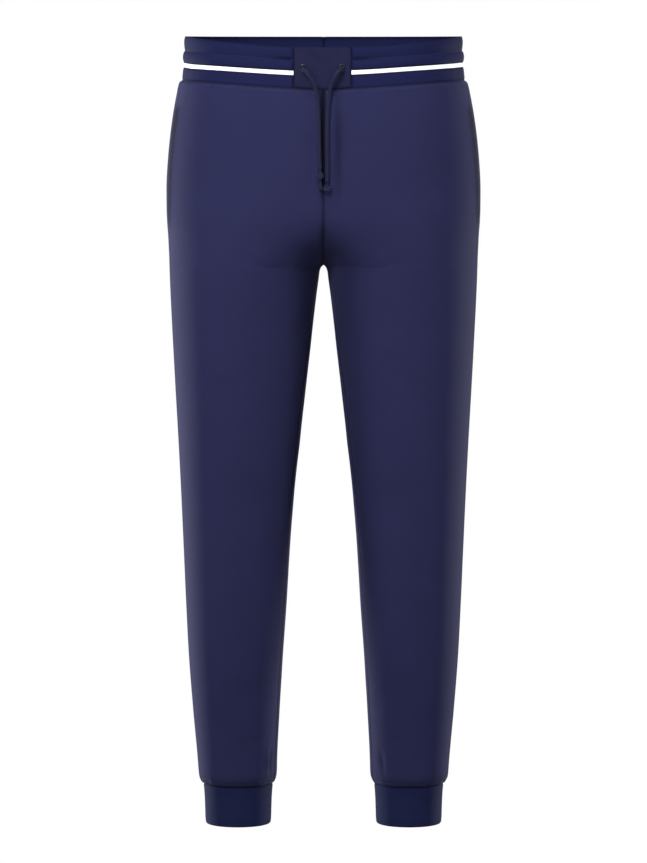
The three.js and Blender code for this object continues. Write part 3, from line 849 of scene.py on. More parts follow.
def shaded(tree, colour, uv, height, recess_shade, mottle):
    """A colour that drifts a little, with painted shade between stitches and where the attribute puts it."""
    drift = noise(tree, uv, DYE["drifts"], Detail=3.0, Roughness=0.6)
    fleck = noise(tree, uv, DYE["flecks"], Detail=2.0)
    spots = math_node(tree, "ADD", drift, math_node(tree, "MULTIPLY", fleck, DYE["fleck_share"]))
    usual = 0.5 * (1 + DYE["fleck_share"])
    level = math_node(tree, "MULTIPLY", spots, mottle)
    level = math_node(tree, "ADD", level, 1 - usual * mottle)
    # Painted shade between the stitches: the lower the relief, the darker the colour
    level = math_node(tree, "ADD", level, math_node(tree, "MULTIPLY", height, recess_shade))
    # Painted shade: this attribute darkens the colour at seams, troughs, stitch grooves and shaded hollows
    painted_shade = add_node(tree, "ShaderNodeAttribute", attribute_name="painted_shade").outputs["Fac"]
    level = math_node(tree, "ADD", level, math_node(tree, "MULTIPLY", painted_shade, -PAINTED_SHADE_DARKENS))
    return add_node(
        tree, "ShaderNodeVectorMath", {0: colour[:3], "Scale": level}, operation="SCALE"
    ).outputs[0]


def bumped(tree, surface, height, distance):
    bump = add_node(tree, "ShaderNodeBump", {"Height": height, "Distance": distance, "Strength": 0.8})
    tree.links.new(bump.outputs[0], surface.inputs["Normal"])


def knit_material(name, colour, sheen=0.05):
    """Combed cotton double knit, dyed navy: matte, with a faint bloom of loose fibre at grazing
    angles. Its stitches are drawn at 1.5 mm, a little coarser than real, so that they show."""
    sizes = bpy.context.scene.sweatpants_cloth
    material, tree, surface = new_material(
        name,
        Roughness=0.88,
        IOR=1.45,
        **{"Specular IOR Level": 0.06, "Sheen Weight": sheen, "Sheen Roughness": 0.45,
           "Sheen Tint": (0.4, 0.4, 0.86, 1)},
    )
    uv, column, row = cloth_places(tree, sizes.wale, sizes.course)
    height = knit_height(tree, column, row)
    dyed = shaded(tree, colour, uv, height, recess_shade=0.22, mottle=0.2)
    tree.links.new(dyed, surface.inputs["Base Color"])
    bumped(tree, surface, height, 0.12 * MM)
    return material


def rib_material(name, colour, rib, course):
    """Cotton and elastane rib knit: round ribs whose bump catches a soft line of light, with painted shade
    between them.
    """
    material, tree, surface = new_material(
        name,
        Roughness=0.85,
        IOR=1.45,
        **{"Specular IOR Level": 0.05, "Sheen Weight": 0.02, "Sheen Roughness": 0.45,
           "Sheen Tint": (0.4, 0.42, 0.86, 1)},
    )
    uv, column, row = cloth_places(tree, rib, course)
    height = rib_height(tree, column, row)
    dyed = shaded(tree, colour, uv, height, recess_shade=0.16, mottle=0.16)
    tree.links.new(dyed, surface.inputs["Base Color"])
    bumped(tree, surface, height, 0.2 * MM)
    return material


def tape_material():
    """Bleached polyester tape, woven in a fine twill, with painted shade between its lines."""
    sizes = bpy.context.scene.sweatpants_cloth
    material, tree, surface = new_material(
        "woven_tape",
        Roughness=0.6,
        IOR=1.5,
        # The emission is painted light: the tape glows a little white though it is no lamp
        **{"Specular IOR Level": 0.4, "Sheen Weight": 0.1, "Emission Color": sizes.tape_colour,
           "Emission Strength": 0.45},
    )
    uv, column, row = cloth_places(tree, 1.1 * MM, 1.1 * MM)
    twill = math_node(tree, "PINGPONG", math_node(tree, "ADD", column, row), 0.5)
    bleached = shaded(tree, sizes.tape_colour, uv, twill, recess_shade=0.12, mottle=0.05)
    tree.links.new(bleached, surface.inputs["Base Color"])
    bumped(tree, surface, twill, 0.08 * MM)
    return material


def cord_material():
    """Braided cotton cord: its relief is in the mesh, and here painted shade darkens it between the strands.
    """
    trim = bpy.context.scene.sweatpants_trim
    material, tree, surface = new_material(
        "braided_cord",
        Roughness=0.8,
        IOR=1.47,
        **{"Specular IOR Level": 0.15, "Sheen Weight": 0.06, "Sheen Roughness": 0.4,
           "Sheen Tint": (0.68, 0.7, 0.88, 1)},
    )
    uv = add_node(tree, "ShaderNodeUVMap", uv_map="UVMap").outputs[0]
    relief = add_node(tree, "ShaderNodeAttribute", attribute_name="relief").outputs["Fac"]
    dyed = shaded(tree, trim.cord_colour, uv, relief, recess_shade=0.5, mottle=0.25)
    tree.links.new(dyed, surface.inputs["Base Color"])
    fibre = noise(tree, uv, 1800.0, Detail=2.0)
    bumped(tree, surface, fibre, 0.1 * MM)
    return material


def metal_material():
    """Pressed brass, plated in dull nickel: a soft mirror with a finely tumbled surface."""
    trim = bpy.context.scene.sweatpants_trim
    material, tree, surface = new_material(
        "plated_eyelet", Metallic=1.0, Roughness=0.22, **{"Base Color": trim.metal_colour}
    )
    place = add_node(tree, "ShaderNodeTexCoord").outputs["Object"]
    grain = noise(tree, place, 2500.0, Detail=3.0)
    rough = math_node(tree, "ADD", math_node(tree, "MULTIPLY", grain, 0.12), 0.1)
    tree.links.new(rough, surface.inputs["Roughness"])
    bumped(tree, surface, grain, 0.03 * MM)
    return material


def thread_material():
    """Spun polyester thread, dyed to match: twisted plies with a little more gloss than the cloth."""
    trim = bpy.context.scene.sweatpants_trim
    material, tree, surface = new_material(
        "sewing_thread", Roughness=0.6, IOR=1.5, **{"Specular IOR Level": 0.25, "Sheen Weight": 0.05}
    )
    place = add_node(tree, "ShaderNodeTexCoord").outputs["Object"]
    ply = add_node(
        tree, "ShaderNodeTexWave", {"Vector": place, "Scale": 900.0, "Distortion": 1.0}
    ).outputs[0]
    # Painted shade between the plies: the colour is darker where the ply wave is low
    level = math_node(tree, "ADD", math_node(tree, "MULTIPLY", ply, 0.3), 0.85)
    colour = add_node(
        tree, "ShaderNodeVectorMath", {0: trim.thread_colour[:3], "Scale": level}, operation="SCALE"
    ).outputs[0]
    tree.links.new(colour, surface.inputs["Base Color"])
    bumped(tree, surface, ply, 0.05 * MM)
    return material


def body_knit():
    """The one material that all four leg panels share."""
    sizes = bpy.context.scene.sweatpants_cloth
    return bpy.data.materials.get("body_knit") or knit_material("body_knit", sizes.body_colour)


# Cloths that more than one operator needs

def front_cloth(side):
    """One front, with its tucks and creases."""
    sizes = bpy.context.scene.sweatpants_cloth
    turn = SIDES[side]
    rows = panel_rows(f"front_{side}", (0, -1, 0), (-turn, 0, 1))
    cloth = fine_cloth(rows, (0, -1, 0), sizes.cell)
    cloth = creased(cloth, FRONT_CREASES + FRONT_GROOVES + FRONT_TUCKS[side] + HEM_TUCKS[side])
    # Painted shade along the fronts' middle seam: the cords' shadow, the fork and the inseams
    cloth = cloth.with_painted_shade(groove_shade(cloth))
    cloth = gathered(cloth, "waist_front", turn=turn)
    cloth = gathered(cloth, "hem", at_bottom=True, turn=turn)
    cloth = cloth.moved(MOUTH_EDGE["flare"] * beside_mouth(cloth) ** MOUTH_EDGE["flare_power"])
    # Painted shade along the front's edge beside the pocket's mouth
    cloth = cloth.with_painted_shade(DEEP_SHADE * beside_mouth(cloth) ** MOUTH_EDGE["shade_power"])
    cloth = arched(cloth, turn)
    return closed_above_fork(seamed(rolled(stitched_hem(cloth)), ("first", "top", "bottom")), turn)


def arched(cloth, turn):
    """A leg's cloth whose inseam is pushed aside just under the fork."""
    near = np.exp(-(((cloth.points[..., 2] - ARCH["level"]) / ARCH["height"]) ** 2))
    cloth.points[..., 0] += turn * ARCH["push"] * near * np.exp(-cloth.across / ARCH["reach"])
    return cloth


def closed_above_fork(cloth, turn):
    """A front whose inner edge reaches just past the middle, all the way down to the fork."""
    edge = cloth.points[:, 0]
    above = edge[:, 2] > FORK["level"]
    edge[above, 0] = turn * np.minimum(turn * edge[above, 0], -SEAM_GAP)
    return cloth


def rolled(cloth):
    """A cloth that laps under the waistband and bulges a little just below it."""
    cloth.points[0, :, 2] += WAIST_LAP
    aside = (cloth.down - WAIST_ROLL["down"]) / WAIST_ROLL["width"]
    return cloth.moved(WAIST_ROLL["height"] * np.exp(-(aside**2)))


def stitched_hem(cloth):
    """A cloth that the hem's two rows of stitches pull in."""
    for rise in HEM_STITCHES["rises"]:
        cloth = channel(cloth, cloth.down[-1, 0] - rise, HEM_STITCHES["width"], HEM_STITCHES["depth"])
    return cloth


def groove_shade(cloth):
    """Painted shade on the seam between the fronts: the cords' shadow, and shade at the fork and inseams."""
    x, level = cloth.points[..., 0], cloth.points[..., 2]
    start = FORK_SHADE["from"]
    near_fork = np.clip((start - level) / (start - FORK["level"]), 0, 1)
    wide = FORK_SHADE["thin"] + FORK_SHADE["widening"] * near_fork**2
    wedge = near_fork ** FORK_SHADE["power"] * np.exp(-((x / wide) ** 2))
    behind_cords = 1 / (1 + np.exp((CORD_SHADE["to"] - level) / CORD_SHADE["fade"]))
    aside = (x - CORD_SHADE["middle"]) / CORD_SHADE["width"]
    strip = behind_cords * np.exp(-(aside**4))
    inseam = (level < FORK["level"]) * np.exp(-((cloth.across / INSEAM_SHADE["width"]) ** 2))
    inseam = inseam * np.exp((level - FORK["level"]) / INSEAM_SHADE["fade"])
    shades = [DEEP_SHADE * wedge, DEEP_SHADE * strip, INSEAM_SHADE["share"] * inseam]
    return np.maximum.reduce(shades) * (cloth.across < GROOVE_REACH)


def back_cloth(side):
    """One back, with its creases under the seat and behind the knee."""
    sizes = bpy.context.scene.sweatpants_cloth
    turn = SIDES[side]
    rows = panel_rows(f"back_{side}", (0, 1, 0), (-turn, 0, 1))
    cloth = fine_cloth(rows, (0, 1, 0), sizes.cell)
    cloth = creased(cloth, BACK_CREASES)
    cloth = gathered(cloth, "waist_back", turn=turn)
    cloth = gathered(cloth, "hem", at_bottom=True, turn=3 + turn)
    # Painted shade on the back beside the pocket's mouth
    cloth = arched(cloth.with_painted_shade(DEEP_SHADE * beside_mouth(cloth)), turn)
    return seamed(rolled(stitched_hem(cloth)), ("first", "last", "top", "bottom"))


def beside_mouth(cloth):
    """How near the pocket's mouth each point lies: 1 along it, fading across the cloth."""
    level = cloth.points[..., 2]
    top, bottom = MOUTH_SHADE["top"], MOUTH_SHADE["bottom"]
    share = np.clip((level - bottom) / (top - bottom), 0, 1)
    reach = MOUTH_SHADE["narrow"] + (MOUTH_SHADE["wide"] - MOUTH_SHADE["narrow"]) * share
    along = np.clip((top - level) / MOUTH_SHADE["top_fade"], 0, 1)
    along = along * np.clip((level - bottom) / MOUTH_SHADE["bottom_fade"], 0, 1)
    return along * np.exp(-((edge_distance(cloth, ("last",)) / reach) ** 2))


def band_cloth(side):
    """Half of the waistband, drawn in along the line of stitches that holds the elastic."""
    sizes = bpy.context.scene.sweatpants_cloth
    turn = SIDES[side]
    rows = panel_rows(f"waistband_{side}", (turn, 0, 0), (0, -1, 1))
    cells = FINER["band_across"] * sizes.cell, FINER["band_down"] * sizes.cell
    cloth = fine_cloth(rows, (turn, 0, 0), *cells)
    raise_top(cloth)
    if side == "left":
        cloth.points[..., 0] -= PANEL_SHY * np.exp(-cloth.across / PANEL_SHY_REACH)
    cloth = gathered(cloth, "band", at_bottom=True, turn=turn)
    beside_panel = np.exp(-((cloth.across / BAND_STITCH["reach"]) ** 2))
    free_end = np.clip(cloth.across / BAND_STITCH["free"], 0, 1)
    depth = free_end * (BAND_STITCH["depth"] + BAND_STITCH["tuck"] * beside_panel)
    # The channel paints shade along the stitches, darkest in the deeper tuck beside the panel
    cloth = channel(cloth, BAND_STITCH["down"], BAND_STITCH["width"], depth)
    bed, rims = tape_bed(cloth, side)
    cloth = cloth.moved(-TAPE["bed"] * (0.5 * bed + TAPE["edge_depth"] * rims))
    # Painted shade along the tape's two edges
    cloth = cloth.with_painted_shade(TAPE["edge_shade"] * rims)
    return seamed(cloth, ("first", "last", "bottom"), depth=0.7)


def raise_top(cloth):
    """Lifts the part above the line of stitches, at the sides and the back."""
    x, y = cloth.points[..., 0], cloth.points[..., 1]
    share = np.clip((np.abs(x) - BAND_RISE["from"]) / (BAND_RISE["to"] - BAND_RISE["from"]), 0, 1)
    share = np.where(y > 0, 1, share)
    above = np.clip(1 - cloth.down / BAND_STITCH["down"], 0, 1)
    cloth.points[..., 2] += BAND_RISE["height"] * share * above


def tape_rise(points, side):
    """How much higher the tape lies than its place in the solid, at each point of the band."""
    at, rises = zip(*TAPE_RISES[side])
    rise = np.interp(np.abs(points[..., 0]) / MM, at, rises) * MM
    return np.where(points[..., 1] > 0, 0, rise)


def tape_bed(cloth, side):
    """Where the sewn tape presses into the band, and where its two edges do so most."""
    down = cloth.down + tape_rise(cloth.points, side)
    edge = TAPE["edge"]
    bed = np.tanh((down - TAPE["top"]) / edge) - np.tanh((down - TAPE["bottom"]) / edge)
    rims = sum(np.exp(-(((down - TAPE[place]) / edge) ** 2)) for place in ("top", "bottom"))
    return bed, rims


def cuff_cloth(side):
    """One cuff, a tube whose top turns into the hem's seam."""
    sizes = bpy.context.scene.sweatpants_cloth
    rows = ring_rows(f"cuff_{side}", (0, -1, 0))
    cloth = fine_ring(rows, (1, 0, 0), FINER["cuff"] * sizes.cell)
    return seamed(cloth, ("top",), depth=0.8)


def panel_front(x):
    """The y of the centre panel's outside at a distance from the middle."""
    half = BAND_RING["half"] + PANEL_OUT
    deep = BAND_RING["front"] + PANEL_OUT
    reach = (np.abs(x) / half) ** BAND_RING["square"]
    return -deep * (1 - reach) ** (1 / BAND_RING["square"])


@dataclass
class Lamp:
    """A soft lamp: its place, what it faces, its width and height, its power and its spread."""

    name: str
    at: tuple
    aim: tuple
    size: tuple
    watts: float
    spread: float


class SWEATPANTS_OT_stage(bpy.types.Operator):
    """Adds the camera, the white surroundings and floor, and the soft lights"""

    bl_idname = "sweatpants.stage"
    bl_label = "Stage"

    LIGHTS = (
        Lamp("key", (-0.7, -2.6, 1.4), (0, 0, 0.02), (0.6, 0.6), 7.5, 50),
        Lamp("fill", (-0.3, -3.6, -0.3), (0, 0, -0.45), (3, 3), 134, 180),
        Lamp("top", (0, -1.0, 1.7), (0, -0.05, 0), (1.6, 0.3), 9, 90),
        Lamp("left_strip", (-2.3, -0.3, -0.45), (0, 0, -0.5), (0.5, 1.8), 27, 180),
        Lamp("right_strip", (2.1, -0.6, -0.7), (0, 0, -0.7), (0.4, 1.8), 14, 180),
        Lamp("left_rim", (-1.9, 1.4, -0.7), (0, 0, -0.5), (0.4, 1.2), 105, 180),
        Lamp("right_rim", (1.9, 1.4, -0.7), (0, 0, -0.5), (0.4, 1.2), 80, 180),
        Lamp("back", (0.3, 4.2, 0.4), (0, 0, -0.4), (2.0, 2.0), 130, 180),
    )

    def execute(self, context):
        stage = context.scene.sweatpants_stage
        self.add_camera(context, stage)
        self.add_surroundings(context, stage)
        self.add_floor(stage)
        for light in self.LIGHTS:
            self.add_light(light)
        return {"FINISHED"}

    def add_camera(self, context, stage):
        place = (0, -stage.distance, stage.height)
        turned = (math.pi / 2 - stage.tilt, 0, 0)
        bpy.ops.object.camera_add(location=place, rotation=turned)
        camera = context.object
        camera.data.sensor_fit = "VERTICAL"
        camera.data.sensor_height = 36
        camera.data.lens = stage.lens
        context.scene.camera = camera
        context.scene.view_settings.view_transform = "Standard"

    def add_surroundings(self, context, stage):
        world = bpy.data.worlds.new("surroundings")
        context.scene.world = world
        world.use_nodes = True
        background = world.node_tree.nodes["Background"]
        background.inputs["Color"].default_value = stage.white
        background.inputs["Strength"].default_value = stage.daylight
        self.show_to_camera_alone(world.cycles_visibility)

    def add_floor(self, stage):
        level = CAD_BOX[0][2] - stage.floor_drop
        bpy.ops.mesh.primitive_plane_add(size=FLOOR_SIZE, location=(0, 0, level))
        floor = bpy.context.object
        floor.name = "floor"
        material, _, surface = new_material("floor_paper", Roughness=0.9)
        surface.inputs["Base Color"].default_value = (0, 0, 0, 1)
        surface.inputs["Specular IOR Level"].default_value = 0
        surface.inputs["Emission Color"].default_value = stage.white
        surface.inputs["Emission Strength"].default_value = stage.daylight
        floor.data.materials.append(material)
        for ray in ("diffuse", "glossy", "transmission", "volume_scatter", "shadow"):
            setattr(floor, f"visible_{ray}", False)

    def show_to_camera_alone(self, rays):
        """White paper behind the trousers lights nothing: only the lamps do."""
        rays.diffuse = rays.glossy = rays.transmission = rays.scatter = False

    def add_light(self, light):
        aim = Vector(light.aim) - Vector(light.at)
        turned = aim.to_track_quat("-Z", "Y").to_euler()
        bpy.ops.object.light_add(type="AREA", location=light.at, rotation=turned)
        lamp = bpy.context.object
        lamp.name = light.name
        lamp.data.shape = "RECTANGLE"
        lamp.data.size, lamp.data.size_y = light.size
        lamp.data.energy = light.watts
        lamp.data.spread = math.radians(light.spread)


def directions_across(line):
    """Two directions across a line at each point, that turn as little as they can."""
    ahead = np.gradient(line, axis=0)
    ahead /= np.linalg.norm(ahead, axis=1, keepdims=True)
    aside = [np.cross(ahead[0], BRAID_SIDE)]
    for direction in ahead[1:]:
        aside.append(aside[-1] - direction * (aside[-1] @ direction))
    aside = np.array(aside)
    aside -= ahead * np.sum(aside * ahead, axis=1, keepdims=True)
    aside /= np.linalg.norm(aside, axis=1, keepdims=True)
    return aside, np.cross(ahead, aside)


def close_ends(piece):
    """Fills the two open ends of a tube, and turns all its faces outwards."""
    active(piece)
    bpy.ops.object.mode_set(mode="EDIT")
    bpy.ops.mesh.select_all(action="DESELECT")
    bpy.ops.mesh.select_non_manifold()
    bpy.ops.mesh.edge_face_add()
    bpy.ops.mesh.select_all(action="SELECT")
    bpy.ops.mesh.normals_make_consistent(inside=False)
    bpy.ops.object.mode_set(mode="OBJECT")


def tube_piece(name, route, radius, squeeze=0.0):
    """A braided tube along a route of points, closed with round ends, and narrower at its start by
    the share of the squeeze."""
    trim = bpy.context.scene.sweatpants_trim
    route = np.array(route) * MM
    at = run_along(route[None], 1)[0]
    step = trim.braid / BRAID["steps"]
    places = np.linspace(0, at[-1], int(at[-1] / step) + 1)
    line = curve_through(at, route, places)
    sides = BRAID["sides"] * trim.carriers
    aside, other = directions_across(line)
    angle = math.tau * np.arange(sides + 1) / sides
    twist = math.tau * places[:, None] / (trim.braid * 2)
    around = trim.carriers * angle[None, :]
    relief = np.maximum(np.cos(around + twist), np.cos(around - twist + math.pi))
    ends = np.minimum(places, at[-1] - places)[:, None]
    rounded = np.sqrt(np.clip(1 - (1 - np.clip(ends / radius, 0, 1)) ** 2, BRAID["end"], 1))
    near_hole = 1 - np.clip(places / (CORD_SQUEEZE["radii"] * radius), 0, 1)
    squeezed = 1 - squeeze * near_hole[:, None] ** 2
    reach = radius * rounded * squeezed * (BRAID["valley"] + BRAID["ridge"] * relief)
    points = (
        line[:, None]
        + reach[..., None] * np.cos(angle)[None, :, None] * aside[:, None]
        + reach[..., None] * np.sin(angle)[None, :, None] * other[:, None]
    )
    points[:, -1] = points[:, 0]
    normals = points - line[:, None]
    around_metres = np.broadcast_to(angle * radius, reach.shape)
    along_metres = np.broadcast_to(places[:, None], reach.shape)
    piece = grid_piece(name, Cloth(points, normals, around_metres, along_metres))
    layer = piece.data.attributes.new("relief", "FLOAT", "POINT")
    layer.data.foreach_set("value", relief.ravel().astype(np.float32))
    weld(piece)
    close_ends(piece)
    return piece, line


class SWEATPANTS_OT_drawcords(bpy.types.Operator):
    """Adds the two drawcord ends and their knots"""

    bl_idname = "sweatpants.drawcords"
    bl_label = "Drawcords"

    def execute(self, context):
        trim = context.scene.sweatpants_trim
        material = cord_material()
        for side, route in CORD_ROUTES.items():
            cord, line = tube_piece(f"drawcord_{side}", route, trim.cord / 2, CORD_SQUEEZE["share"])
            settled(cord, material)
            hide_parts(f"cord_{side}")
            knot_route = np.array(KNOT_ROUTES[side]) + np.array(KNOT_MIDDLES[side])
            knot, _ = tube_piece(f"knot_of_drawcord_{side}", knot_route, trim.cord / 2)
            settled(knot, material)
            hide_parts(f"knot_{side}")
        return {"FINISHED"}


class SWEATPANTS_OT_fronts(bpy.types.Operator):
    """Adds the two front panels"""

    bl_idname = "sweatpants.fronts"
    bl_label = "Fronts"

    def execute(self, context):
        sizes = context.scene.sweatpants_cloth
        for side in SIDES:
            cloth = front_cloth(side)
            front = cloth_piece(f"front_panel_{side}", cloth, sizes.body)
            settled(front, body_knit())
            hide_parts(f"front_{side}")
        return {"FINISHED"}


class SWEATPANTS_OT_backs(bpy.types.Operator):
    """Adds the two back panels"""

    bl_idname = "sweatpants.backs"
    bl_label = "Backs"

    def execute(self, context):
        sizes = context.scene.sweatpants_cloth
        for side in SIDES:
            cloth = back_cloth(side)
            back = cloth_piece(f"back_panel_{side}", cloth, sizes.body)
            settled(back, body_knit())
            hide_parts(f"back_{side}")
        return {"FINISHED"}


class SWEATPANTS_OT_pockets(bpy.types.Operator):
    """Adds the facings that show in the mouths of the side-seam pockets"""

    bl_idname = "sweatpants.pockets"
    bl_label = "Pockets"

    def execute(self, context):
        sizes = context.scene.sweatpants_cloth
        # The facings' near-black colour is painted shade
        material = knit_material("pocket_knit_painted_shade", sizes.facing_shade_colour, 0.1)
        for side, turn in SIDES.items():
            rows = panel_rows(f"pocket_{side}", (turn, 0, 0), (0, -1, 1))
            cloth = fine_cloth(rows, (turn, 0, 0), sizes.cell)
            facing = cloth_piece(f"pocket_facing_{side}", cloth, sizes.facing)
            settled(facing, material)
            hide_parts(f"pocket_{side}")
        return {"FINISHED"}


class SWEATPANTS_OT_waistband(bpy.types.Operator):
    """Adds the two halves of the elastic waistband"""

    bl_idname = "sweatpants.waistband"
    bl_label = "Waistband"

    def execute(self, context):
        sizes = context.scene.sweatpants_cloth
        material = rib_material("band_knit", sizes.band_colour, 1.6 * MM, 1.1 * MM)
        for side in SIDES:
            cloth = band_cloth(side)
            band = cloth_piece(f"band_{side}", cloth, sizes.band)
            settled(band, material)
            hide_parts(f"waistband_{side}")
        return {"FINISHED"}


class SWEATPANTS_OT_tapes(bpy.types.Operator):
    """Adds the white tape round the waistband"""

    bl_idname = "sweatpants.tapes"
    bl_label = "Tapes"

    def execute(self, context):
        sizes = context.scene.sweatpants_cloth
        material = tape_material()
        for side in SIDES:
            cloth = self.tape_cloth(side)
            tape = cloth_piece(f"tape_{side}", cloth, sizes.tape, ("top", "bottom"))
            settled(tape, material)
            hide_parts(f"stripe_{side}")
        return {"FINISHED"}

    def tape_cloth(self, side):
        """The tape, laid on the band's own points and crowned a little."""
        sizes = bpy.context.scene.sweatpants_cloth
        band = band_cloth(side)
        both = np.concatenate([band.points, band.normals], axis=-1)
        level = band.down[:, 0]
        width = TAPE["bottom"] - TAPE["top"]
        steps = np.linspace(0, width, 12)
        middle = (level > TAPE["top"]) & (level < TAPE["bottom"])
        rise = tape_rise(band.points[middle], side).mean(axis=0)
        columns = []
        for column, lift in enumerate(rise):
            columns.append(curve_through(level, both[:, column], TAPE["top"] - lift + steps))
        laid = np.stack(columns, axis=1)
        down = np.repeat(steps[:, None], laid.shape[1], axis=1)
        across = np.repeat(band.across[middle].mean(axis=0)[None], len(steps), axis=0)
        crown = TAPE["crown"] * np.sqrt(np.clip(np.sin(math.pi * down / width), 0, 1))
        cloth = Cloth(laid[..., :3], laid[..., 3:], across, down)
        return cloth.moved(sizes.tape + TAPE["proud"] + crown)


class SWEATPANTS_OT_centre_panel(bpy.types.Operator):
    """Adds the plain panel at the front of the waistband"""

    bl_idname = "sweatpants.centre_panel"
    bl_label = "Centre Panel"

    def execute(self, context):
        sizes = context.scene.sweatpants_cloth
        cloth = self.panel_cloth(FINER["panel"] * sizes.cell)
        panel = grid_piece("front_band_panel", cloth)
        mark_seams(panel, cloth, ("first", "last", "top", "bottom"))
        apply_modifier(panel, "SOLIDIFY", thickness=sizes.band, offset=-1, use_even_offset=True)
        settled(panel, knit_material("panel_knit", sizes.panel_colour))
        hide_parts("centre_panel")
        return {"FINISHED"}

    def panel_cloth(self, cell):
        """The panel between the heights of the two waistband halves' front ends."""
        low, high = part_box("centre_panel")
        ends = panel_rows("waistband_left", (1, 0, 0), (0, -1, 1))[:, 0, 2]
        half = high.x + SEAM_GAP
        x = np.linspace(-half, half - PANEL_SHY, int(2 * half / cell))
        share = np.clip(np.abs(x) / (half - PANEL_SHY * (x > 0)), 0, 1) ** PANEL_BEND
        top = high.z - PANEL_DIP + (ends[0] - high.z) * share**2
        bottom = low.z + (ends[-1] - low.z) * share
        t = np.linspace(0, 1, int((high.z - low.z) / cell))[:, None]
        z = top[None, :] * (1 - t) + bottom[None, :] * t
        across = np.broadcast_to(x + half, z.shape)
        places = np.broadcast_to(x, z.shape), np.broadcast_to(panel_front(x), z.shape), z
        points = np.stack(places, axis=-1)
        cloth = Cloth(points, normals_of(points, (0, -1, 0)), across, high.z - z)
        puff = PANEL_PUFF["height"] * np.sin(math.pi * t) ** PANEL_PUFF["down"]
        puff = puff * np.cos(0.5 * math.pi * x / half) ** PANEL_PUFF["across"]
        cloth = creased(cloth.moved(puff - PANEL_PUFF["sunk"]), PANEL_CREASES)
        cloth = seamed(cloth, ("first", "last", "bottom"), depth=1.1)
        inside = self.in_tunnel(cloth)
        # The cloth behind each eyelet sinks back and gets painted shade, standing for the dark tunnel
        return cloth.moved(-TUNNEL["depth"] * inside).with_painted_shade(TUNNEL["shade"] * inside)

    def in_tunnel(self, cloth):
        """1 behind the eyelets, where the cloth falls back into the cord's tunnel."""
        trim = bpy.context.scene.sweatpants_trim
        inside = 0
        for side in SIDES:
            low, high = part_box(f"eyelet_{side}")
            middle = (low + high) / 2
            away = np.hypot(cloth.points[..., 0] - middle.x, cloth.points[..., 2] - middle.z)
            inside = inside + np.clip((trim.eyelet_hole + TUNNEL["wall"] - away) / TUNNEL["wall"], 0, 1)
        return inside


class SWEATPANTS_OT_eyelets(bpy.types.Operator):
    """Adds the two stamped metal eyelets"""

    bl_idname = "sweatpants.eyelets"
    bl_label = "Eyelets"

    def execute(self, context):
        trim = context.scene.sweatpants_trim
        material = metal_material()
        roll = (trim.eyelet_rim - trim.eyelet_hole) / 2
        for side in SIDES:
            low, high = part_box(f"eyelet_{side}")
            middle = (low + high) / 2
            x = middle.x
            slope = float(panel_front(x + MM) - panel_front(x - MM)) / (2 * MM)
            place = (x, float(panel_front(x)) - EYELET["proud"], middle.z)
            turned = (math.pi / 2, 0, math.atan(slope))
            deselect()
            bpy.ops.mesh.primitive_torus_add(
                major_radius=trim.eyelet_hole + roll,
                minor_radius=roll,
                major_segments=56,
                minor_segments=20,
                location=place,
                rotation=turned,
            )
            eyelet = context.object
            eyelet.name = f"eyelet_ring_{side}"
            self.roll_rim(eyelet)
            settled(eyelet, material)
            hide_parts(f"eyelet_{side}")
        return {"FINISHED"}

    def roll_rim(self, eyelet):
        """Flattens the ring in front and draws it back into a barrel behind."""
        for vert in eyelet.data.vertices:
            vert.co.z *= EYELET["front"] if vert.co.z > 0 else EYELET["barrel"]


def line_around(cloth, down):
    """Points and normals along a cloth, at a distance down from its top."""
    both = np.concatenate([cloth.points, cloth.normals], axis=-1)
    line = curve_through(cloth.down[:, 0], both, np.array([down]))[0]
    return line[:, :3], line[:, 3:]


def line_down(cloth, inset):
    """Points and normals down a cloth, at a distance in from its last column."""
    both = np.concatenate([cloth.points, cloth.normals], axis=-1)
    line = []
    for across, row in zip(cloth.across, both):
        line.append(curve_through(across, row, np.array([across[-1] - inset]))[0])
    line = np.array(line)
    return line[:, :3], line[:, 3:]


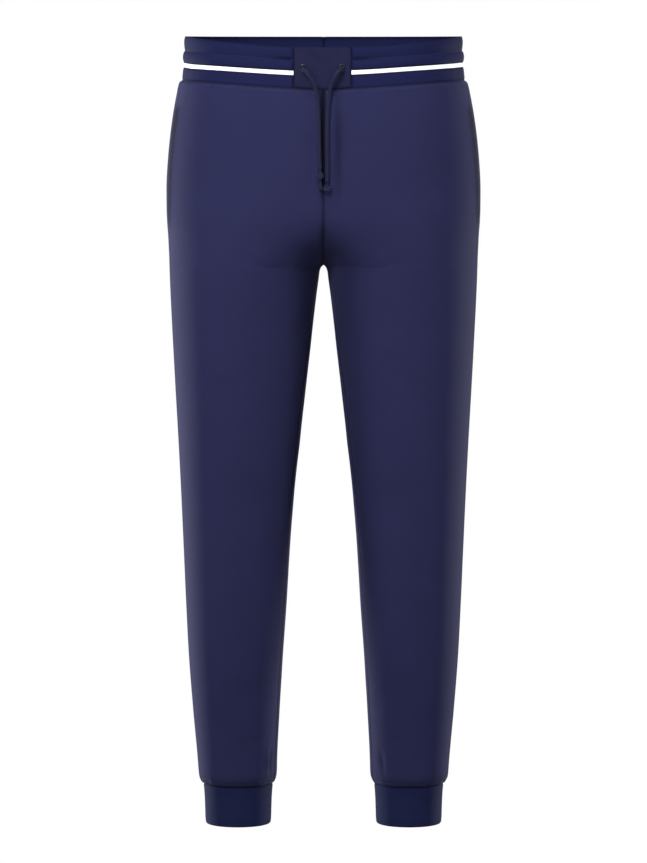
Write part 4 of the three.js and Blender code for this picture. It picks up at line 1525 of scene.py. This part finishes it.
class SWEATPANTS_OT_stitching(bpy.types.Operator):
    """Adds the rows of stitches on the waistband, hems and pockets"""

    bl_idname = "sweatpants.stitching"
    bl_label = "Stitching"

    def execute(self, context):
        material = thread_material()
        for side in SIDES:
            band = band_cloth(side)
            self.sew(f"band_stitches_{side}", [line_around(band, BAND_STITCH["down"])], material)
            front, back = front_cloth(side), back_cloth(side)
            hems = []
            for cloth in (front, back):
                length = cloth.down[-1, 0]
                hems += [line_around(cloth, length - rise) for rise in HEM_STITCHES["rises"]]
            self.sew(f"hem_stitches_{side}", hems, material)
            points, normals = line_down(front, POCKET["topstitch"])
            level = front.down[:, 0]
            mouth = (level > POCKET["top"]) & (level < POCKET["bottom"])
            self.sew(f"pocket_stitches_{side}", [(points[mouth], normals[mouth])], material)
        return {"FINISHED"}

    def one_stitch(self, trim):
        """A thin rounded grain that stands for one stitch."""
        deselect()
        bpy.ops.mesh.primitive_uv_sphere_add(segments=8, ring_count=6, radius=1)
        stitch = bpy.context.object
        verts = np.array([vert.co for vert in stitch.data.vertices])
        faces = [tuple(face.vertices) for face in stitch.data.polygons]
        bpy.data.objects.remove(stitch)
        return verts * (trim.thread / 2, trim.stitch / 2, trim.thread / 2), faces

    def sew(self, name, lines, material):
        """Copies the stitch along each line, all in one mesh."""
        trim = bpy.context.scene.sweatpants_trim
        shape, faces = self.one_stitch(trim)
        verts, polygons = [], []
        for points, normals in lines:
            at = run_along(points[None], 1)[0]
            places = np.arange(trim.stitch_pitch, at[-1] - trim.stitch_pitch, trim.stitch_pitch)
            middles = curve_through(at, points, places)
            ups = curve_through(at, normals, places)
            aheads = curve_through(at, np.gradient(points, axis=0), places)
            for middle, up, ahead in zip(middles, ups, aheads):
                up = up / np.linalg.norm(up)
                ahead = ahead - up * (ahead @ up)
                ahead /= np.linalg.norm(ahead)
                turn = np.stack([np.cross(ahead, up), ahead, up])
                start = len(verts)
                verts.extend(middle + up * STITCH_LIFT * trim.thread + shape @ turn)
                polygons.extend(tuple(start + i for i in face) for face in faces)
        mesh = bpy.data.meshes.new(name)
        mesh.from_pydata([tuple(vert) for vert in verts], [], polygons)
        piece = bpy.data.objects.new(name, mesh)
        bpy.context.scene.collection.objects.link(piece)
        settled(piece, material)


class SWEATPANTS_OT_cuffs(bpy.types.Operator):
    """Adds the two ribbed cuffs"""

    bl_idname = "sweatpants.cuffs"
    bl_label = "Cuffs"

    def execute(self, context):
        sizes = context.scene.sweatpants_cloth
        material = rib_material("cuff_rib", sizes.cuff_colour, sizes.rib, sizes.course)
        for side in SIDES:
            cloth = cuff_cloth(side)
            cuff = cloth_piece(f"ribbed_cuff_{side}", cloth, sizes.cuff, ("top", "bottom"), closed=True)
            settled(cuff, material)
            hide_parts(f"cuff_{side}")
        return {"FINISHED"}


OPERATORS = (
    SWEATPANTS_OT_stage,
    SWEATPANTS_OT_drawcords,
    SWEATPANTS_OT_fronts,
    SWEATPANTS_OT_backs,
    SWEATPANTS_OT_pockets,
    SWEATPANTS_OT_tapes,
    SWEATPANTS_OT_waistband,
    SWEATPANTS_OT_centre_panel,
    SWEATPANTS_OT_eyelets,
    SWEATPANTS_OT_cuffs,
    SWEATPANTS_OT_stitching,
)


class SWEATPANTS_PT_panel(bpy.types.Panel):
    """Lists the steps in order"""

    bl_idname = "SWEATPANTS_PT_panel"
    bl_label = "Jogger Sweatpants"
    bl_space_type = "VIEW_3D"
    bl_region_type = "UI"
    bl_category = "Sweatpants"

    def draw(self, context):
        for operator in OPERATORS:
            self.layout.operator(operator.bl_idname)


CLASSES = (
    SWEATPANTS_PG_cloth,
    SWEATPANTS_PG_trim,
    SWEATPANTS_PG_stage,
    *OPERATORS,
    SWEATPANTS_PT_panel,
)


def register():
    for cls in CLASSES:
        bpy.utils.register_class(cls)
    bpy.types.Scene.sweatpants_cloth = PointerProperty(type=SWEATPANTS_PG_cloth)
    bpy.types.Scene.sweatpants_trim = PointerProperty(type=SWEATPANTS_PG_trim)
    bpy.types.Scene.sweatpants_stage = PointerProperty(type=SWEATPANTS_PG_stage)


def unregister():
    del bpy.types.Scene.sweatpants_stage
    del bpy.types.Scene.sweatpants_trim
    del bpy.types.Scene.sweatpants_cloth
    for cls in reversed(CLASSES):
        bpy.utils.unregister_class(cls)


def main():
    register()
    for operator in OPERATORS:
        group, step = operator.bl_idname.split(".")
        getattr(getattr(bpy.ops, group), step)()


if __name__ == "__main__":
    main()
